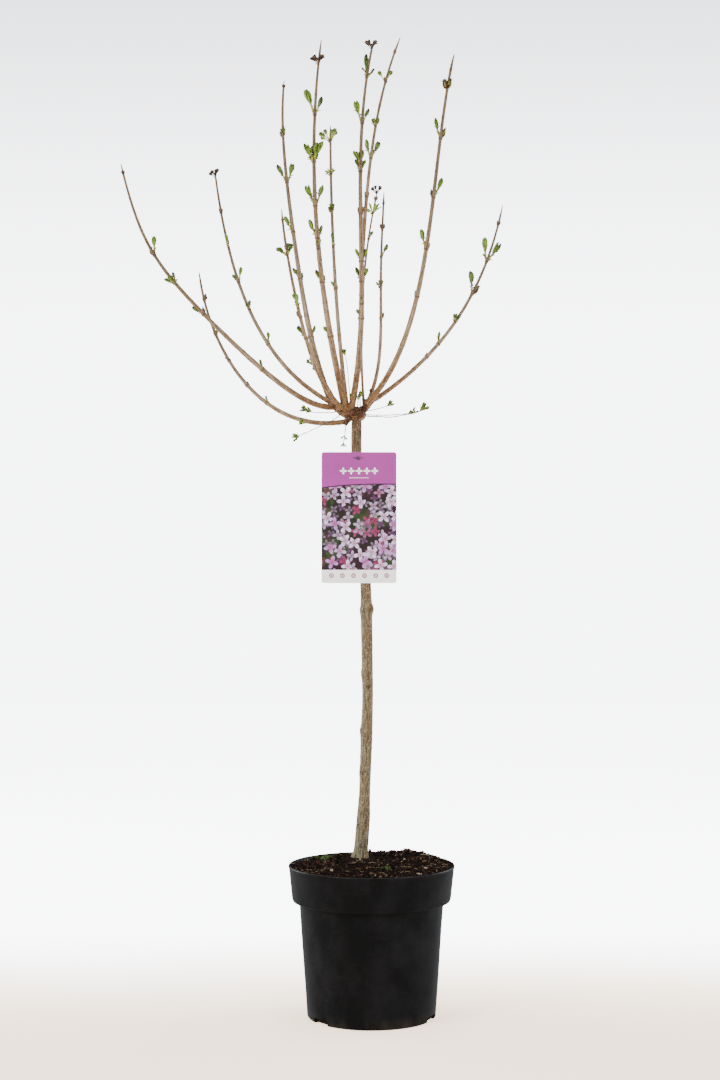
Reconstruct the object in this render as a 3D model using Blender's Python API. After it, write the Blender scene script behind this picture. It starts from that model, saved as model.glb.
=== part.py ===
# A young lilac grafted at the top of a bare stem, in a round nursery pot, in early spring.
# Thirteen limbs fan up from one graft, nearly bare, with pairs of leaf buds opening along them.
# Metres, +Z up. The origin is the middle of the pot's flat underside, and -Y is the front.

import math
from dataclasses import dataclass, field

import bmesh
import bpy
import numpy as np
from mathutils import Vector

MM = 0.001
GAP = 0.3 * MM  # between pieces that meet face to face

# The pot: a straight tapering body under a wider collar.
POT_HEIGHT = 0.200
POT_COLLAR_FOOT = 0.153
POT_RIM_RADIUS = 0.110
POT_COLLAR_RADIUS = 0.1052
POT_BODY_RADIUS = 0.0959
POT_BASE_RADIUS = 0.0851
POT_WALL = 0.0018
POT_SIDES = 40
DRAIN_WIDTH = 0.028
DRAIN_HEIGHT = 0.0075
DRAIN_DEPTH = 0.016
DRAIN_ANGLES = (-52, 68, 188)  # degrees round from the front, to the right

# The soil's top lies level with the rim, sinks behind on the left and rises to the stem.
SOIL_CROWN = 0.2055
SOIL_EDGE = 0.1985
SOIL_DIP = 0.0090
SOIL_DIP_SIDE = 205  # degrees round from the front, to the right
SOIL_ROUGHNESS = 0.0008
SOIL_RINGS = (0.0, 0.25, 0.5, 0.75, 1.0)
FOOT_PATCH = 0.016

# The stem, from its flat foot on the soil to the graft: height, lean to the right, depth, diameter.
STEM = (
    (SOIL_CROWN + GAP, -0.0145, 0.0250, 0.0240),
    (0.2140, -0.0142, 0.0250, 0.0200),
    (0.2330, -0.0126, 0.0246, 0.0186),
    (0.2570, -0.0108, 0.0240, 0.0180),
    (0.2900, -0.0092, 0.0230, 0.0152),
    (0.3290, -0.0077, 0.0220, 0.0154),
    (0.3700, -0.0064, 0.0200, 0.0158),
    (0.4170, -0.0052, 0.0180, 0.0145),
    (0.4700, -0.0056, 0.0170, 0.0150),
    (0.5220, -0.0065, 0.0160, 0.0155),
    (0.5730, -0.0077, 0.0150, 0.0143),
    (0.6630, -0.0139, 0.0140, 0.0140),
    (0.7470, -0.0200, 0.0120, 0.0139),
    (0.7830, -0.0197, 0.0120, 0.0130),
)
STEM_SIDES = 12
STEM_SPACING = 0.022
# Old bud scars that stand out of the stem: height, degrees round to the right, how far they stand out.
STEM_KNOTS = ((0.375, -70, 0.0018), (0.435, 10, 0.0014), (0.452, -80, 0.0016), (0.538, 75, 0.0030),
              (0.536, -80, 0.0018), (0.320, -60, 0.0012))
KNOT_SIZE = 0.006
KNOT_SPACE = 0.005  # no other ring of the stem comes this near to a knot

# The graft: a burl on top of the stem, an arm to each side, and short pruned knobs.
BURL_CENTRE = (-0.019, 0.012, 0.7965)
BURL_SIZE = (0.0125, 0.0105, 0.0095)
ARMS = (
    ((-0.021, 0.012, 0.7935), (-0.030, 0.010, 0.7930), (-0.042, 0.009, 0.8010), (-0.053, 0.012, 0.8110)),
    ((-0.018, 0.012, 0.7975), (-0.010, 0.010, 0.8030), (-0.003, 0.009, 0.8130), (0.006, 0.008, 0.8220)),
)
ARM_THICK = (12.0, 9.0)
KNOBS = ((-0.024, 0.001, 0.799, 0.0040), (-0.018, 0.005, 0.804, 0.0036), (-0.014, 0.001, 0.797, 0.0042),
         (-0.010, 0.007, 0.803, 0.0038), (-0.030, 0.004, 0.792, 0.0046), (-0.022, 0.021, 0.803, 0.0044))

NECK_LENGTH = 0.008  # of the stem's top that runs up into the burl
ROOT_FIT = 0.97  # a root bar's radius, as a share of its limb's foot
ROOT_OVERRUN = 0.3  # how far a root bar runs on into its limb, in limb radii

LIMB_SIDES = 8
SHOOT_SIDES = 6
LIMB_SPACING = 0.024
STUB_SPACING = 0.010
LIMB_SAMPLES = 161  # places along a limb's curve that are measured
ROOT_SAMPLES = 9
LAST_PLACE = 0.995  # the furthest share of a limb where a tuft's leaf is rooted
CLEARANCE = 1.0 * MM  # between limbs, or a bud and another limb, that don't join

# The hanging tag and the band that holds it to the stem.
TAG_CENTRE = (-0.0165, -0.0085, 0.6596)
TAG_WIDTH = 0.0990
TAG_HEIGHT = 0.1730
TAG_THICK = 0.0008
TAG_CORNER = 0.0030
SLIT_MIDDLE = (-0.0180, 0.7375)
SLIT_SPREAD = 0.0036
SLIT_SIZE = (0.0020, 0.0056)
SLIT_DEPTH = 0.010  # of its cutter, well past both faces of the tag
BAND_THICK = 0.0007
BAND_HEIGHT = 0.0044
BAND_LIFT = 0.0005
BAND_PLAY = 0.4 * MM  # between the band and the bark behind the stem
BAND_MITRE = 0.6  # a sharp corner's mitre is cut off past this cosine
BAND_ARC_STEPS = 14


@dataclass
class Limb:
    """One tapering limb. Its curve is a Bezier curve, from inside what carries it to its tip.

    thick: the diameter at the foot and at the tip, in millimetres.
    leafy: the share of its length where the bare bough ends and the leafy shoot begins.
    pairs: opposite buds, as the share of the length, the turn round the limb in degrees, and the
    left and right bud's length in millimetres, negative while still brown and 0 for a bare scar.
    tufts: rosettes, as the share, the number of leaves and their length in millimetres.
    carrier: the piece or the other limb that it is fused to.
    """

    name: str
    curve: tuple
    thick: tuple
    leafy: float = 0.0
    pairs: tuple = ()
    tufts: tuple = ()
    carrier: str = "graft_head"
    samples: np.ndarray = field(init=False)
    shares: np.ndarray = field(init=False)
    length: float = field(init=False)

    def __post_init__(self):
        self.samples = bezier(self.curve, np.linspace(0.0, 1.0, LIMB_SAMPLES))
        steps = np.linalg.norm(np.diff(self.samples, axis=0), axis=1)
        self.length = steps.sum()
        self.shares = np.concatenate([[0.0], np.cumsum(steps)]) / self.length

    def at(self, share):
        return np.array([np.interp(share, self.shares, self.samples[:, axis]) for axis in range(3)])

    def heading(self, share):
        ahead = self.at(min(share + 0.01, 1.0)) - self.at(max(share - 0.01, 0.0))
        return ahead / np.linalg.norm(ahead)

    def radius(self, share):
        foot, tip = self.thick
        return (tip + (foot - tip) * (1.0 - share)) * MM / 2.0


def bezier(points, parameter):
    """The Bezier curve of any degree: each control point weighed by its Bernstein polynomial."""
    degree = len(points) - 1
    t = parameter[:, None]
    weights = [math.comb(degree, i) * (1.0 - t) ** (degree - i) * t**i for i in range(degree + 1)]
    return sum(weight * np.array(point) for weight, point in zip(weights, points))


LIMBS = (
    Limb("far_left", ((-0.053, 0.008, 0.807), (-0.128, -0.018, 0.800), (-0.259, -0.080, 0.994),
                      (-0.281, -0.084, 0.941), (-0.319, -0.110, 1.108)), (8.0, 2.2), 0.215,
         ((0.721, 0, -7, 17), (0.494, 0, 13, -8), (0.251, 20, 0, 9)), ((0.614, 4, 13),)),
    Limb("mid_left", ((-0.048, 0.012, 0.810), (-0.163, 0.020, 0.867), (-0.195, 0.027, 1.010),
                      (-0.210, 0.030, 1.126)), (6.5, 2.2), 0.295,
         ((0.844, 0, -4, -4), (0.714, 90, 13, 10), (0.582, 0, 9, 15), (0.473, 60, 8, 10),
          (0.331, 0, 0, 11)), ((0.975, 4, 8),)),
    Limb("low_left", ((-0.033, 0.014, 0.788), (-0.151, 0.055, 0.769), (-0.224, 0.094, 0.895),
                      (-0.238, 0.120, 1.001)), (7.0, 2.4), 0.315,
         ((0.875, 45, -4, -10), (0.722, 30, -4, -7), (0.600, 0, 4, 0), (0.466, 0, -4, -4),
          (0.353, 10, 0, 8)), ()),
    Limb("inner_left", ((-0.053, 0.018, 0.813), (-0.099, 0.054, 0.919), (-0.096, 0.086, 1.040),
                        (-0.132, 0.120, 1.150), (-0.121, 0.140, 1.271)), (9.0, 2.4), 0.165,
         ((0.680, 0, 27, 26), (0.530, 10, 23, 0), (0.385, 0, 14, -8), (0.205, 0, 0, 12)),
         ((0.836, 5, 10),)),
    Limb("front_left", ((-0.040, 0.002, 0.806), (-0.086, -0.046, 0.847), (-0.089, -0.091, 0.920),
                        (-0.108, -0.145, 0.969), (-0.112, -0.180, 1.039)), (6.5, 2.2), 0.350,
         ((0.554, 80, 18, 12), (0.506, 0, -7, 0), (0.400, 0, 15, 0)), ((0.801, 8, 15),)),
    Limb("tall_left", ((-0.035, 0.006, 0.807), (-0.070, -0.041, 0.953), (-0.086, -0.096, 1.107),
                       (-0.064, -0.130, 1.260)), (9.5, 2.0), 0.165,
         ((0.806, 0, 28, 20), (0.683, 0, 0, 24), (0.565, 0, 24, 23), (0.478, 0, 22, 14),
          (0.450, 60, 8, 9), (0.357, 0, 13, -6), (0.204, 10, 11, 0)),
         ((0.938, 5, 11), (0.692, 8, 20))),
    Limb("back_left", ((-0.033, 0.018, 0.809), (-0.049, 0.076, 0.940), (-0.056, 0.134, 1.074),
                       (-0.057, 0.170, 1.214)), (6.5, 2.6), 0.375,
         ((0.565, 90, 14, 10), (0.415, 0, 9, -4)), ((0.948, 8, 15), (0.833, 6, 9), (0.698, 5, 9))),
    Limb("tall_mid", ((-0.027, 0.006, 0.804), (0.006, -0.048, 0.952), (-0.035, -0.110, 1.103),
                      (0.002, -0.150, 1.255)), (9.0, 2.4), 0.215,
         ((0.935, 90, 17, 12), (0.785, 0, 24, 15), (0.548, 0, -6, -6), (0.418, 0, 12, 12),
          (0.363, 0, 14, 13), (0.302, 90, 7, 7), (0.260, 0, 9, 0)),
         ((0.978, 5, 9), (0.907, 7, 13), (0.680, 4, 15))),
    Limb("back_wisp", ((-0.010, 0.018, 0.807), (-0.017, 0.057, 0.907), (-0.014, 0.096, 1.010),
                       (0.009, 0.120, 1.113)), (3.6, 2.0), 0.700,
         ((0.960, 0, -5, -5), (0.778, 0, 0, 9)), ((0.990, 4, 8), (0.912, 7, 14))),
    Limb("back_right", ((-0.009, 0.018, 0.807), (0.029, 0.074, 0.877), (0.005, 0.122, 0.962),
                        (0.016, 0.177, 1.039), (0.019, 0.210, 1.127)), (5.5, 2.2), 0.385,
         ((0.948, 0, -5, -5), (0.838, 0, -7, -7), (0.709, 0, 0, 17), (0.423, 0, 0, -8)),
         ((0.563, 4, 9),)),
    Limb("right", ((-0.006, 0.004, 0.811), (0.085, -0.037, 0.902), (0.073, -0.110, 1.116),
                   (0.103, -0.140, 1.240)), (8.0, 2.6), 0.300,
         ((0.778, 0, 19, -12), (0.619, 0, -9, 20), (0.477, 0, 19, -7), (0.343, 0, -6, 0)),
         ((0.912, 7, 12),)),
    Limb("far_right", ((0.006, 0.014, 0.818), (0.102, 0.033, 0.884), (0.154, 0.048, 0.969),
                       (0.178, 0.060, 1.083)), (6.5, 2.0), 0.240,
         ((0.918, 0, -5, -5), (0.753, 0, 28, 27), (0.604, 0, 27, -14), (0.348, 0, 12, 0),
          (0.275, 0, -4, 0)), ((0.464, 4, 9),)),
    Limb("mid_fork", ((-0.012, -0.064, 1.000), (-0.006, -0.060, 1.095), (0.001, -0.055, 1.192),
                      (0.037, -0.050, 1.283)), (5.4, 2.0), 0.0,
         ((0.930, 0, -4, 0), (0.810, 0, -5, 16), (0.580, 0, 0, 19), (0.435, 0, 20, 20),
          (0.260, 0, -5, -5)), ((0.590, 3, 8),), carrier="tall_mid"),
    # Thin twigs round the graft, each ending in a small tuft.
    Limb("wisp_low", ((-0.040, 0.006, 0.798), (-0.053, -0.012, 0.785), (-0.071, -0.030, 0.777),
                      (-0.100, -0.050, 0.763)), (1.6, 1.4), 0.0, (), ((0.945, 7, 8),)),
    Limb("wisp_under", ((-0.064, -0.0213, 0.7809), (-0.072, -0.022, 0.7815), (-0.080, -0.023, 0.7825),
                        (-0.0905, -0.024, 0.7840)), (1.4, 1.3), 0.0, (), ((0.93, 5, 7),),
         carrier="wisp_low"),
    Limb("wisp_left", ((-0.043, 0.006, 0.802), (-0.056, -0.012, 0.797), (-0.073, -0.020, 0.797),
                       (-0.088, -0.030, 0.801)), (1.6, 1.4), 0.0, (), ((0.945, 6, 8), (0.83, 4, 7))),
    Limb("wisp_hanging", ((-0.033, 0.008, 0.794), (-0.034, -0.004, 0.782), (-0.035, -0.006, 0.770),
                          (-0.038, -0.006, 0.755)), (1.6, 1.4), 0.0, ((0.70, 0, 6, 6),), ((0.95, 4, 5),)),
    Limb("wisp_back", ((-0.014, 0.018, 0.799), (-0.002, 0.036, 0.805), (0.012, 0.045, 0.807),
                       (0.026, 0.050, 0.812)), (1.6, 1.4), 0.0, (), ((0.945, 6, 8),)),
    Limb("wisp_right", ((-0.012, 0.012, 0.796), (0.020, 0.032, 0.793), (0.045, 0.036, 0.795),
                        (0.072, 0.040, 0.806)), (1.8, 1.4), 0.0, (), ((0.945, 7, 11), (0.80, 3, 8))),
    Limb("wisp_front", ((-0.012, 0.006, 0.797), (0.012, -0.010, 0.793), (0.030, -0.014, 0.795),
                        (0.053, -0.018, 0.797)), (1.6, 1.4), 0.0, (), ((0.955, 4, 5),)),
    Limb("wisp_upright", ((-0.018, 0.006, 0.800), (-0.019, 0.002, 0.806), (-0.018, -0.001, 0.812),
                          (-0.017, -0.003, 0.818)), (1.6, 1.4), 0.0, (), ((0.90, 3, 7),)),
    Limb("wisp_inner", ((-0.041, 0.014, 0.801), (-0.050, 0.030, 0.826), (-0.064, 0.048, 0.850),
                        (-0.083, 0.060, 0.871)), (1.6, 1.4), 0.0, (), ((0.955, 5, 9), (0.80, 4, 9))),
    Limb("wisp_tall", ((-0.026, 0.010, 0.800), (-0.030, -0.004, 0.830), (-0.031, -0.012, 0.858),
                       (-0.036, -0.020, 0.879)), (1.6, 1.4), 0.0, (), ((0.94, 4, 7),)),
)

# An opening bud is a spindle of folded leaves. Each width is a share of its length, plus millimetres.
GREEN_WIDTH = (0.24, 1.5)
GREEN_THICK = (0.20, 1.3)
TUFT_WIDTH = (0.42, 1.3)
BROWN_WIDTH = (0.32, 1.3)
WIDEST = 0.66  # the share of its length where a bud is widest
ROOT_SINK = 0.4  # how far past the limb's middle line a bud is rooted, in limb radii
PAIR_LEAN = 38  # degrees from the limb
BROWN_LEAN = 27
TUFT_LEANS = (62, 40, 75)
TUFT_STEP = 0.8 * MM  # along the limb from one leaf of a tuft to the next
TUFT_SHRINK = 0.05  # how much smaller each leaf of a tuft is than the one before
LIGHT_PULL = 0.35  # how strongly a bud turns upwards to the light
GOLDEN_ANGLE = math.radians(137.5)


def material(name, colour, roughness):
    """A plain Principled finish."""
    made = bpy.data.materials.new(name)
    made.use_nodes = True
    shader = made.node_tree.nodes["Principled BSDF"]
    shader.inputs["Base Color"].default_value = (*colour, 1.0)
    shader.inputs["Roughness"].default_value = roughness
    shader.inputs["Metallic"].default_value = 0.0
    return made


def add_object(name, mesh, finish=None):
    """A named object in the scene that holds the mesh, smooth but for its sharp edges."""
    if finish:
        mesh.materials.append(finish)
        mesh.shade_smooth()
        mesh.set_sharp_from_angle(angle=math.radians(40))
    made = bpy.data.objects.new(name, mesh)
    bpy.context.scene.collection.objects.link(made)
    return made


def mesh_from(shape, name):
    """The mesh of a bmesh, with its faces turned outwards."""
    bmesh.ops.recalc_face_normals(shape, faces=shape.faces)
    mesh = bpy.data.meshes.new(name)
    shape.to_mesh(mesh)
    shape.free()
    return mesh


def tube(centres, headings, radii, sides, bulge=None):
    """A round bar: rings square to its headings, carried along without twist, with flat ends."""
    shape = bmesh.new()
    across = Vector((0.0, 1.0, 0.0))
    rings = []
    for step, (centre, heading, radius) in enumerate(zip(centres, headings, radii)):
        heading = Vector(heading)
        across = (across - heading * across.dot(heading)).normalized()
        over = heading.cross(across)
        ring = []
        for side in range(sides):
            angle = 2.0 * math.pi * side / sides
            out = across * math.cos(angle) + over * math.sin(angle)
            reach = radius + (bulge(Vector(centre), out) if bulge else 0.0)
            ring.append(shape.verts.new(Vector(centre) + out * reach))
        rings.append(ring)
    for lower, upper in zip(rings, rings[1:]):
        for side in range(sides):
            following = (side + 1) % sides
            shape.faces.new((lower[side], lower[following], upper[following], upper[side]))
    shape.faces.new(rings[0][::-1])
    shape.faces.new(rings[-1])
    return mesh_from(shape, "bar")


def stretch(limb, start, end, sides, spacing):
    """The part of a limb between two shares of its length, as a bar."""
    steps = max(2, math.ceil((end - start) * limb.length / spacing) + 1)
    shares = np.linspace(start, end, steps)
    return tube([limb.at(s) for s in shares], [limb.heading(s) for s in shares],
                [limb.radius(s) for s in shares], sides)


def lump(centre, size, fineness):
    """A rounded lump."""
    shape = bmesh.new()
    bmesh.ops.create_icosphere(shape, subdivisions=fineness, radius=1.0)
    bmesh.ops.scale(shape, vec=size, verts=shape.verts)
    bmesh.ops.translate(shape, vec=centre, verts=shape.verts)
    return mesh_from(shape, "lump")


def bud_solid(root, heading, face, length, width, thick):
    """An opening bud: a point at each end, and a lozenge across its widest place."""
    across = heading.cross(face).normalized()
    middle = root + heading * length * WIDEST
    points = [root, middle + across * width / 2, middle + face * thick / 2,
              middle - across * width / 2, middle - face * thick / 2, root + heading * length]
    shape = bmesh.new()
    verts = [shape.verts.new(point) for point in points]
    for side in range(4):
        near, far = verts[1 + side], verts[1 + (side + 1) % 4]
        shape.faces.new((verts[0], near, far))
        shape.faces.new((verts[5], far, near))
    return mesh_from(shape, "bud")


def sides_of(limb, share):
    """The limb's heading, with its left and its front as the front view sees them."""
    heading = Vector(limb.heading(share))
    left = Vector((-heading.z, 0.0, heading.x))
    left = (left - heading * left.dot(heading)).normalized()
    front = heading.cross(left)
    if front.y > 0.0:
        front.negate()
    return heading, left, front


def bud_at(limb, share, side, lean, length, width, thick):
    """One bud's place: root, heading, face, length, width and thickness, in metres."""
    heading = Vector(limb.heading(share))
    lean = math.radians(lean)
    ahead = heading * math.cos(lean) + side * math.sin(lean) + Vector((0.0, 0.0, LIGHT_PULL))
    ahead.normalize()
    face = (heading - ahead * heading.dot(ahead)).normalized()
    radius = limb.radius(share)
    root = Vector(limb.at(share)) - side * radius * ROOT_SINK
    size = length * MM
    return (root, ahead, face, size + radius, size * width[0] + width[1] * MM,
            size * thick[0] + thick[1] * MM)


def buds_of(limb):
    """Every bud of a limb: its opposite pairs, then its tufts with their leaves at the golden angle."""
    found = []
    for share, turn, left_length, right_length in limb.pairs:
        _, left, front = sides_of(limb, share)
        turn = math.radians(turn)
        side = left * math.cos(turn) + front * math.sin(turn)
        for length, out in ((left_length, side), (right_length, -side)):
            if length > 0:
                found.append(bud_at(limb, share, out, PAIR_LEAN, length, GREEN_WIDTH, GREEN_THICK))
            elif length < 0:
                found.append(bud_at(limb, share, out, BROWN_LEAN, -length, BROWN_WIDTH, BROWN_WIDTH))
    for share, count, length in limb.tufts:
        _, left, front = sides_of(limb, share)
        for number in range(count):
            angle = number * GOLDEN_ANGLE
            out = left * math.cos(angle) + front * math.sin(angle)
            place = min(share + (number % 3 - 1) * TUFT_STEP / limb.length, LAST_PLACE)
            size = length * (1.0 - TUFT_SHRINK * number)
            found.append(bud_at(limb, place, out, TUFT_LEANS[number % 3], size, TUFT_WIDTH, GREEN_THICK))
    return found


def bud_rounds(bud):
    """A bud as places along its middle line, with how far it reaches round each of them."""
    root, ahead, _, length, width, _ = bud
    shares = np.array([0.35, WIDEST, 0.85, 1.0])
    reach = np.array([0.6, 1.0, 0.6, 0.1]) * width / 2.0
    return np.array(root) + np.outer(shares * length, np.array(ahead)), reach


def space_between(points, reach, other_points, other_reach):
    """The space from each place of one run of rounds to each place of another."""
    distance = np.linalg.norm(points[:, None] - other_points[None], axis=2)
    return distance - reach[:, None] - other_reach[None]


def rounds_of(limb):
    """A limb as places along it with their radii."""
    shares = np.linspace(0.0, 1.0, LIMB_SAMPLES)
    return np.array([limb.at(s) for s in shares]), np.array([limb.radius(s) for s in shares])


def joint_share(limb, others):
    """The share of its length by which a limb stands clear of the others beside its foot."""
    points, reach = rounds_of(limb)
    touching = [0]
    for other_points, other_reach in others:
        near = space_between(points, reach, other_points, other_reach).min(axis=1) < CLEARANCE
        touching.append(np.flatnonzero(near).max(initial=0))
    return (max(touching) + 1) / (len(points) - 1)


def fuse(name, pieces, finish):
    """One solid from overlapping pieces, by a Boolean union on a collection."""
    first, *rest = [add_object(f"{name}_{number}", mesh) for number, mesh in enumerate(pieces)]
    joined = first.data
    if rest:
        group = bpy.data.collections.new(f"{name}_pieces")
        bpy.context.scene.collection.children.link(group)
        for piece in rest:
            bpy.context.scene.collection.objects.unlink(piece)
            group.objects.link(piece)
        union = first.modifiers.new("union", "BOOLEAN")
        union.operation = "UNION"
        union.solver = "EXACT"
        union.operand_type = "COLLECTION"
        union.collection = group
        graph = bpy.context.evaluated_depsgraph_get()
        joined = bpy.data.meshes.new_from_object(first.evaluated_get(graph))
        for piece in rest:
            bpy.data.objects.remove(piece)
        bpy.data.collections.remove(group)
    bpy.data.objects.remove(first)
    joined.name = name
    return add_object(name, joined, finish)


def cut(target, cutters):
    """Takes the cutters out of the target with Boolean modifiers that stay live."""
    for cutter in cutters:
        cutter.hide_render = True
        cutter.display_type = "WIRE"
        modifier = target.modifiers.new(cutter.name, "BOOLEAN")
        modifier.operation = "DIFFERENCE"
        modifier.solver = "EXACT"
        modifier.object = cutter


def turned(profile, sides):
    """A closed profile of radius and height, spun round the upright axis."""
    shape = bmesh.new()
    verts = [shape.verts.new((radius, 0.0, height)) for radius, height in profile]
    edges = [shape.edges.new(pair) for pair in zip(verts, verts[1:])]
    bmesh.ops.spin(shape, geom=verts + edges, cent=(0, 0, 0), axis=(0, 0, 1),
                   angle=2.0 * math.pi, steps=sides, use_duplicate=False)
    bmesh.ops.remove_doubles(shape, verts=shape.verts, dist=0.01 * MM)
    return mesh_from(shape, "turned")


def box_mesh(size, centre):
    """A plain block."""
    shape = bmesh.new()
    bmesh.ops.create_cube(shape, size=1.0)
    bmesh.ops.scale(shape, vec=size, verts=shape.verts)
    bmesh.ops.translate(shape, vec=centre, verts=shape.verts)
    return mesh_from(shape, "block")


def pot_inner_profile(clearance):
    """The pot's inner wall from its floor to its rim, as radius and height, drawn in by a clearance."""
    inset = POT_WALL + clearance
    return [
        (POT_BASE_RADIUS - inset, POT_WALL + clearance),
        (POT_BODY_RADIUS - inset, POT_COLLAR_FOOT + clearance),
        (POT_COLLAR_RADIUS - inset, POT_COLLAR_FOOT + POT_WALL + clearance),
        (POT_RIM_RADIUS - inset, POT_HEIGHT),
    ]


def make_pot(finish):
    """The pot, with a thickened rim and three drain slots at its foot."""
    outer = [
        (0.0, 0.0),
        (POT_BASE_RADIUS - 1.5 * MM, 0.0),
        (POT_BASE_RADIUS, 1.5 * MM),
        (POT_BODY_RADIUS, POT_COLLAR_FOOT),
        (POT_COLLAR_RADIUS - 1.0 * MM, POT_COLLAR_FOOT + 0.4 * MM),
        (POT_COLLAR_RADIUS, POT_COLLAR_FOOT + 1.6 * MM),
        (POT_RIM_RADIUS - 0.6 * MM, POT_HEIGHT - 3.2 * MM),
        (POT_RIM_RADIUS, POT_HEIGHT - 2.6 * MM),
        (POT_RIM_RADIUS, POT_HEIGHT - 0.5 * MM),
        (POT_RIM_RADIUS - 0.5 * MM, POT_HEIGHT),
    ]
    inner = pot_inner_profile(0.0)[::-1] + [(0.0, POT_WALL)]
    pot = add_object("pot", turned(outer + inner, POT_SIDES), finish)
    cutters = []
    for number, degrees in enumerate(DRAIN_ANGLES):
        slot = box_mesh((DRAIN_WIDTH, DRAIN_DEPTH, 2.0 * DRAIN_HEIGHT), (0.0, -POT_BASE_RADIUS, 0.0))
        cutter = add_object(f"drain_cutter_{number}", slot)
        cutter.rotation_euler = (0.0, 0.0, math.radians(degrees))
        cutters.append(cutter)
    cut(pot, cutters)


def soil_edge_height(angle):
    """The soil's height at the wall, by the angle round from the front to the right."""
    towards_dip = math.cos(angle - math.radians(SOIL_DIP_SIDE))
    return SOIL_EDGE - SOIL_DIP * max(0.0, towards_dip) ** 2


def make_soil(finish):
    """The soil that fills the pot, closed below, with a mound whose flat crown carries the stem."""
    rng = np.random.default_rng(7)
    shape = bmesh.new()
    foot = Vector((STEM[0][1], STEM[0][2], 0.0))
    wall = pot_inner_profile(GAP)
    angles = [2.0 * math.pi * side / POT_SIDES for side in range(POT_SIDES)]

    def round_point(radius, angle, height):
        return Vector((radius * math.cos(angle), radius * math.sin(angle), height))

    rings = [[shape.verts.new(round_point(radius, angle, height)) for angle in angles]
             for radius, height in wall[:3]]
    (low_radius, low_height), (high_radius, high_height) = wall[2:]
    edge = []
    for angle in angles:
        height = soil_edge_height(angle + math.pi / 2.0)
        share = (height - low_height) / (high_height - low_height)
        edge.append(round_point(low_radius + share * (high_radius - low_radius), angle, height))
    for share in SOIL_RINGS[::-1]:
        ring = []
        for angle, rim in zip(angles, edge):
            near = foot + round_point(FOOT_PATCH, angle, SOIL_CROWN)
            point = near.lerp(rim, share)
            point.z = SOIL_CROWN + (rim.z - SOIL_CROWN) * share**2
            if 0.0 < share < 1.0:
                point.z += rng.uniform(-1.0, 0.0) * SOIL_ROUGHNESS
            ring.append(shape.verts.new(point))
        rings.append(ring)
    for lower, upper in zip(rings, rings[1:]):
        for side in range(POT_SIDES):
            following = (side + 1) % POT_SIDES
            shape.faces.new((lower[side], lower[following], upper[following], upper[side]))
    shape.faces.new(rings[0][::-1])
    shape.faces.new(rings[-1])
    add_object("soil", mesh_from(shape, "soil"), finish)


def stem_at(height):
    """The stem's middle and diameter at a height, by smooth steps between the measured places."""
    heights = [row[0] for row in STEM]
    step = min(max(np.searchsorted(heights, height) - 1, 0), len(STEM) - 2)
    span = heights[step + 1] - heights[step]
    share = (height - heights[step]) / span

    def slope(index, column):
        before, after = STEM[max(index - 1, 0)], STEM[min(index + 1, len(STEM) - 1)]
        return (after[column] - before[column]) / (after[0] - before[0])

    values = []
    for column in (1, 2, 3):
        start, end = STEM[step][column], STEM[step + 1][column]
        pull_start, pull_end = slope(step, column) * span, slope(step + 1, column) * span
        eased = 3 * share**2 - 2 * share**3
        values.append((1 - eased) * start + eased * end
                      + (share**3 - 2 * share**2 + share) * pull_start + (share**3 - share**2) * pull_end)
    lean, depth, thick = values
    return np.array([lean, depth, height]), thick / 2.0


def knot_bulge(centre, out):
    """How far the bark stands out at a place: a rounded bump at each old bud scar."""
    angle = math.atan2(out.x, -out.y)
    total = 0.0
    for height, degrees, proud in STEM_KNOTS:
        turn = math.cos(angle - math.radians(degrees))
        if turn > 0.0:
            total += proud * turn**4 * math.exp(-(((centre.z - height) / KNOT_SIZE) ** 2))
    return total


def make_trunk(finish):
    """The bare stem, from its flared flat foot on the soil to the flat cut under the graft."""
    foot, top = STEM[0][0], STEM[-1][0]
    flare = [foot, foot + 0.004, foot + 0.009]
    knots = [knot[0] for knot in STEM_KNOTS]
    even = np.arange(foot + STEM_SPACING, top - STEM_SPACING / 3, STEM_SPACING)
    even = [height for height in even if min(abs(height - knot) for knot in knots) > KNOT_SPACE]
    heights = sorted(flare + knots + even + [top])
    places = [stem_at(height) for height in heights]
    headings = [Vector(stem_at(min(h + 0.004, top))[0] - stem_at(max(h - 0.004, foot))[0]).normalized()
                for h in heights]
    headings[0] = Vector((0.0, 0.0, 1.0))
    centres = [place[0] for place in places]
    radii = [place[1] for place in places]
    add_object("trunk", tube(centres, headings, radii, STEM_SIDES, knot_bulge), finish)
    return centres, radii, headings[-1]


def make_graft_head(trunk_top, trunk_radius, heading, arms, stubs, finish):
    """The burl with its arms and knobs, fused with the first stretch of every limb that it carries."""
    foot = Vector(trunk_top) + heading * GAP
    neck = tube([foot, foot + heading * NECK_LENGTH], [heading] * 2, [trunk_radius] * 2, STEM_SIDES)
    pieces = [lump(BURL_CENTRE, BURL_SIZE, 2), neck]
    pieces += [stretch(arm, 0.0, 1.0, LIMB_SIDES, STUB_SPACING) for arm in arms]
    pieces += [lump(knob[:3], (knob[3],) * 3, 1) for knob in KNOBS]
    fuse("graft_head", pieces + stubs, finish)


def root_line(limb, carriers):
    """The limb's root: from the nearest middle line of what carries it to its foot, and its radius."""
    foot = limb.at(0.0)
    middles = np.concatenate([carrier.samples for carrier in carriers])
    return middles[np.linalg.norm(middles - foot, axis=1).argmin()], foot, limb.radius(0.0)


def root_rounds(line):
    """A root as places along it with their radii."""
    start, end, radius = line
    shares = np.linspace(0.0, 1.0, ROOT_SAMPLES)
    return start + np.outer(shares, end - start), np.full(ROOT_SAMPLES, radius)


def root_piece(line):
    """A root as a short bar, sunk a little into the limb's foot."""
    start, end, radius = Vector(line[0]), Vector(line[1]), line[2]
    heading = (end - start).normalized()
    ends = [start, end + heading * radius * ROOT_OVERRUN]
    return tube(ends, [heading] * 2, [radius * ROOT_FIT] * 2, LIMB_SIDES)


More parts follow.
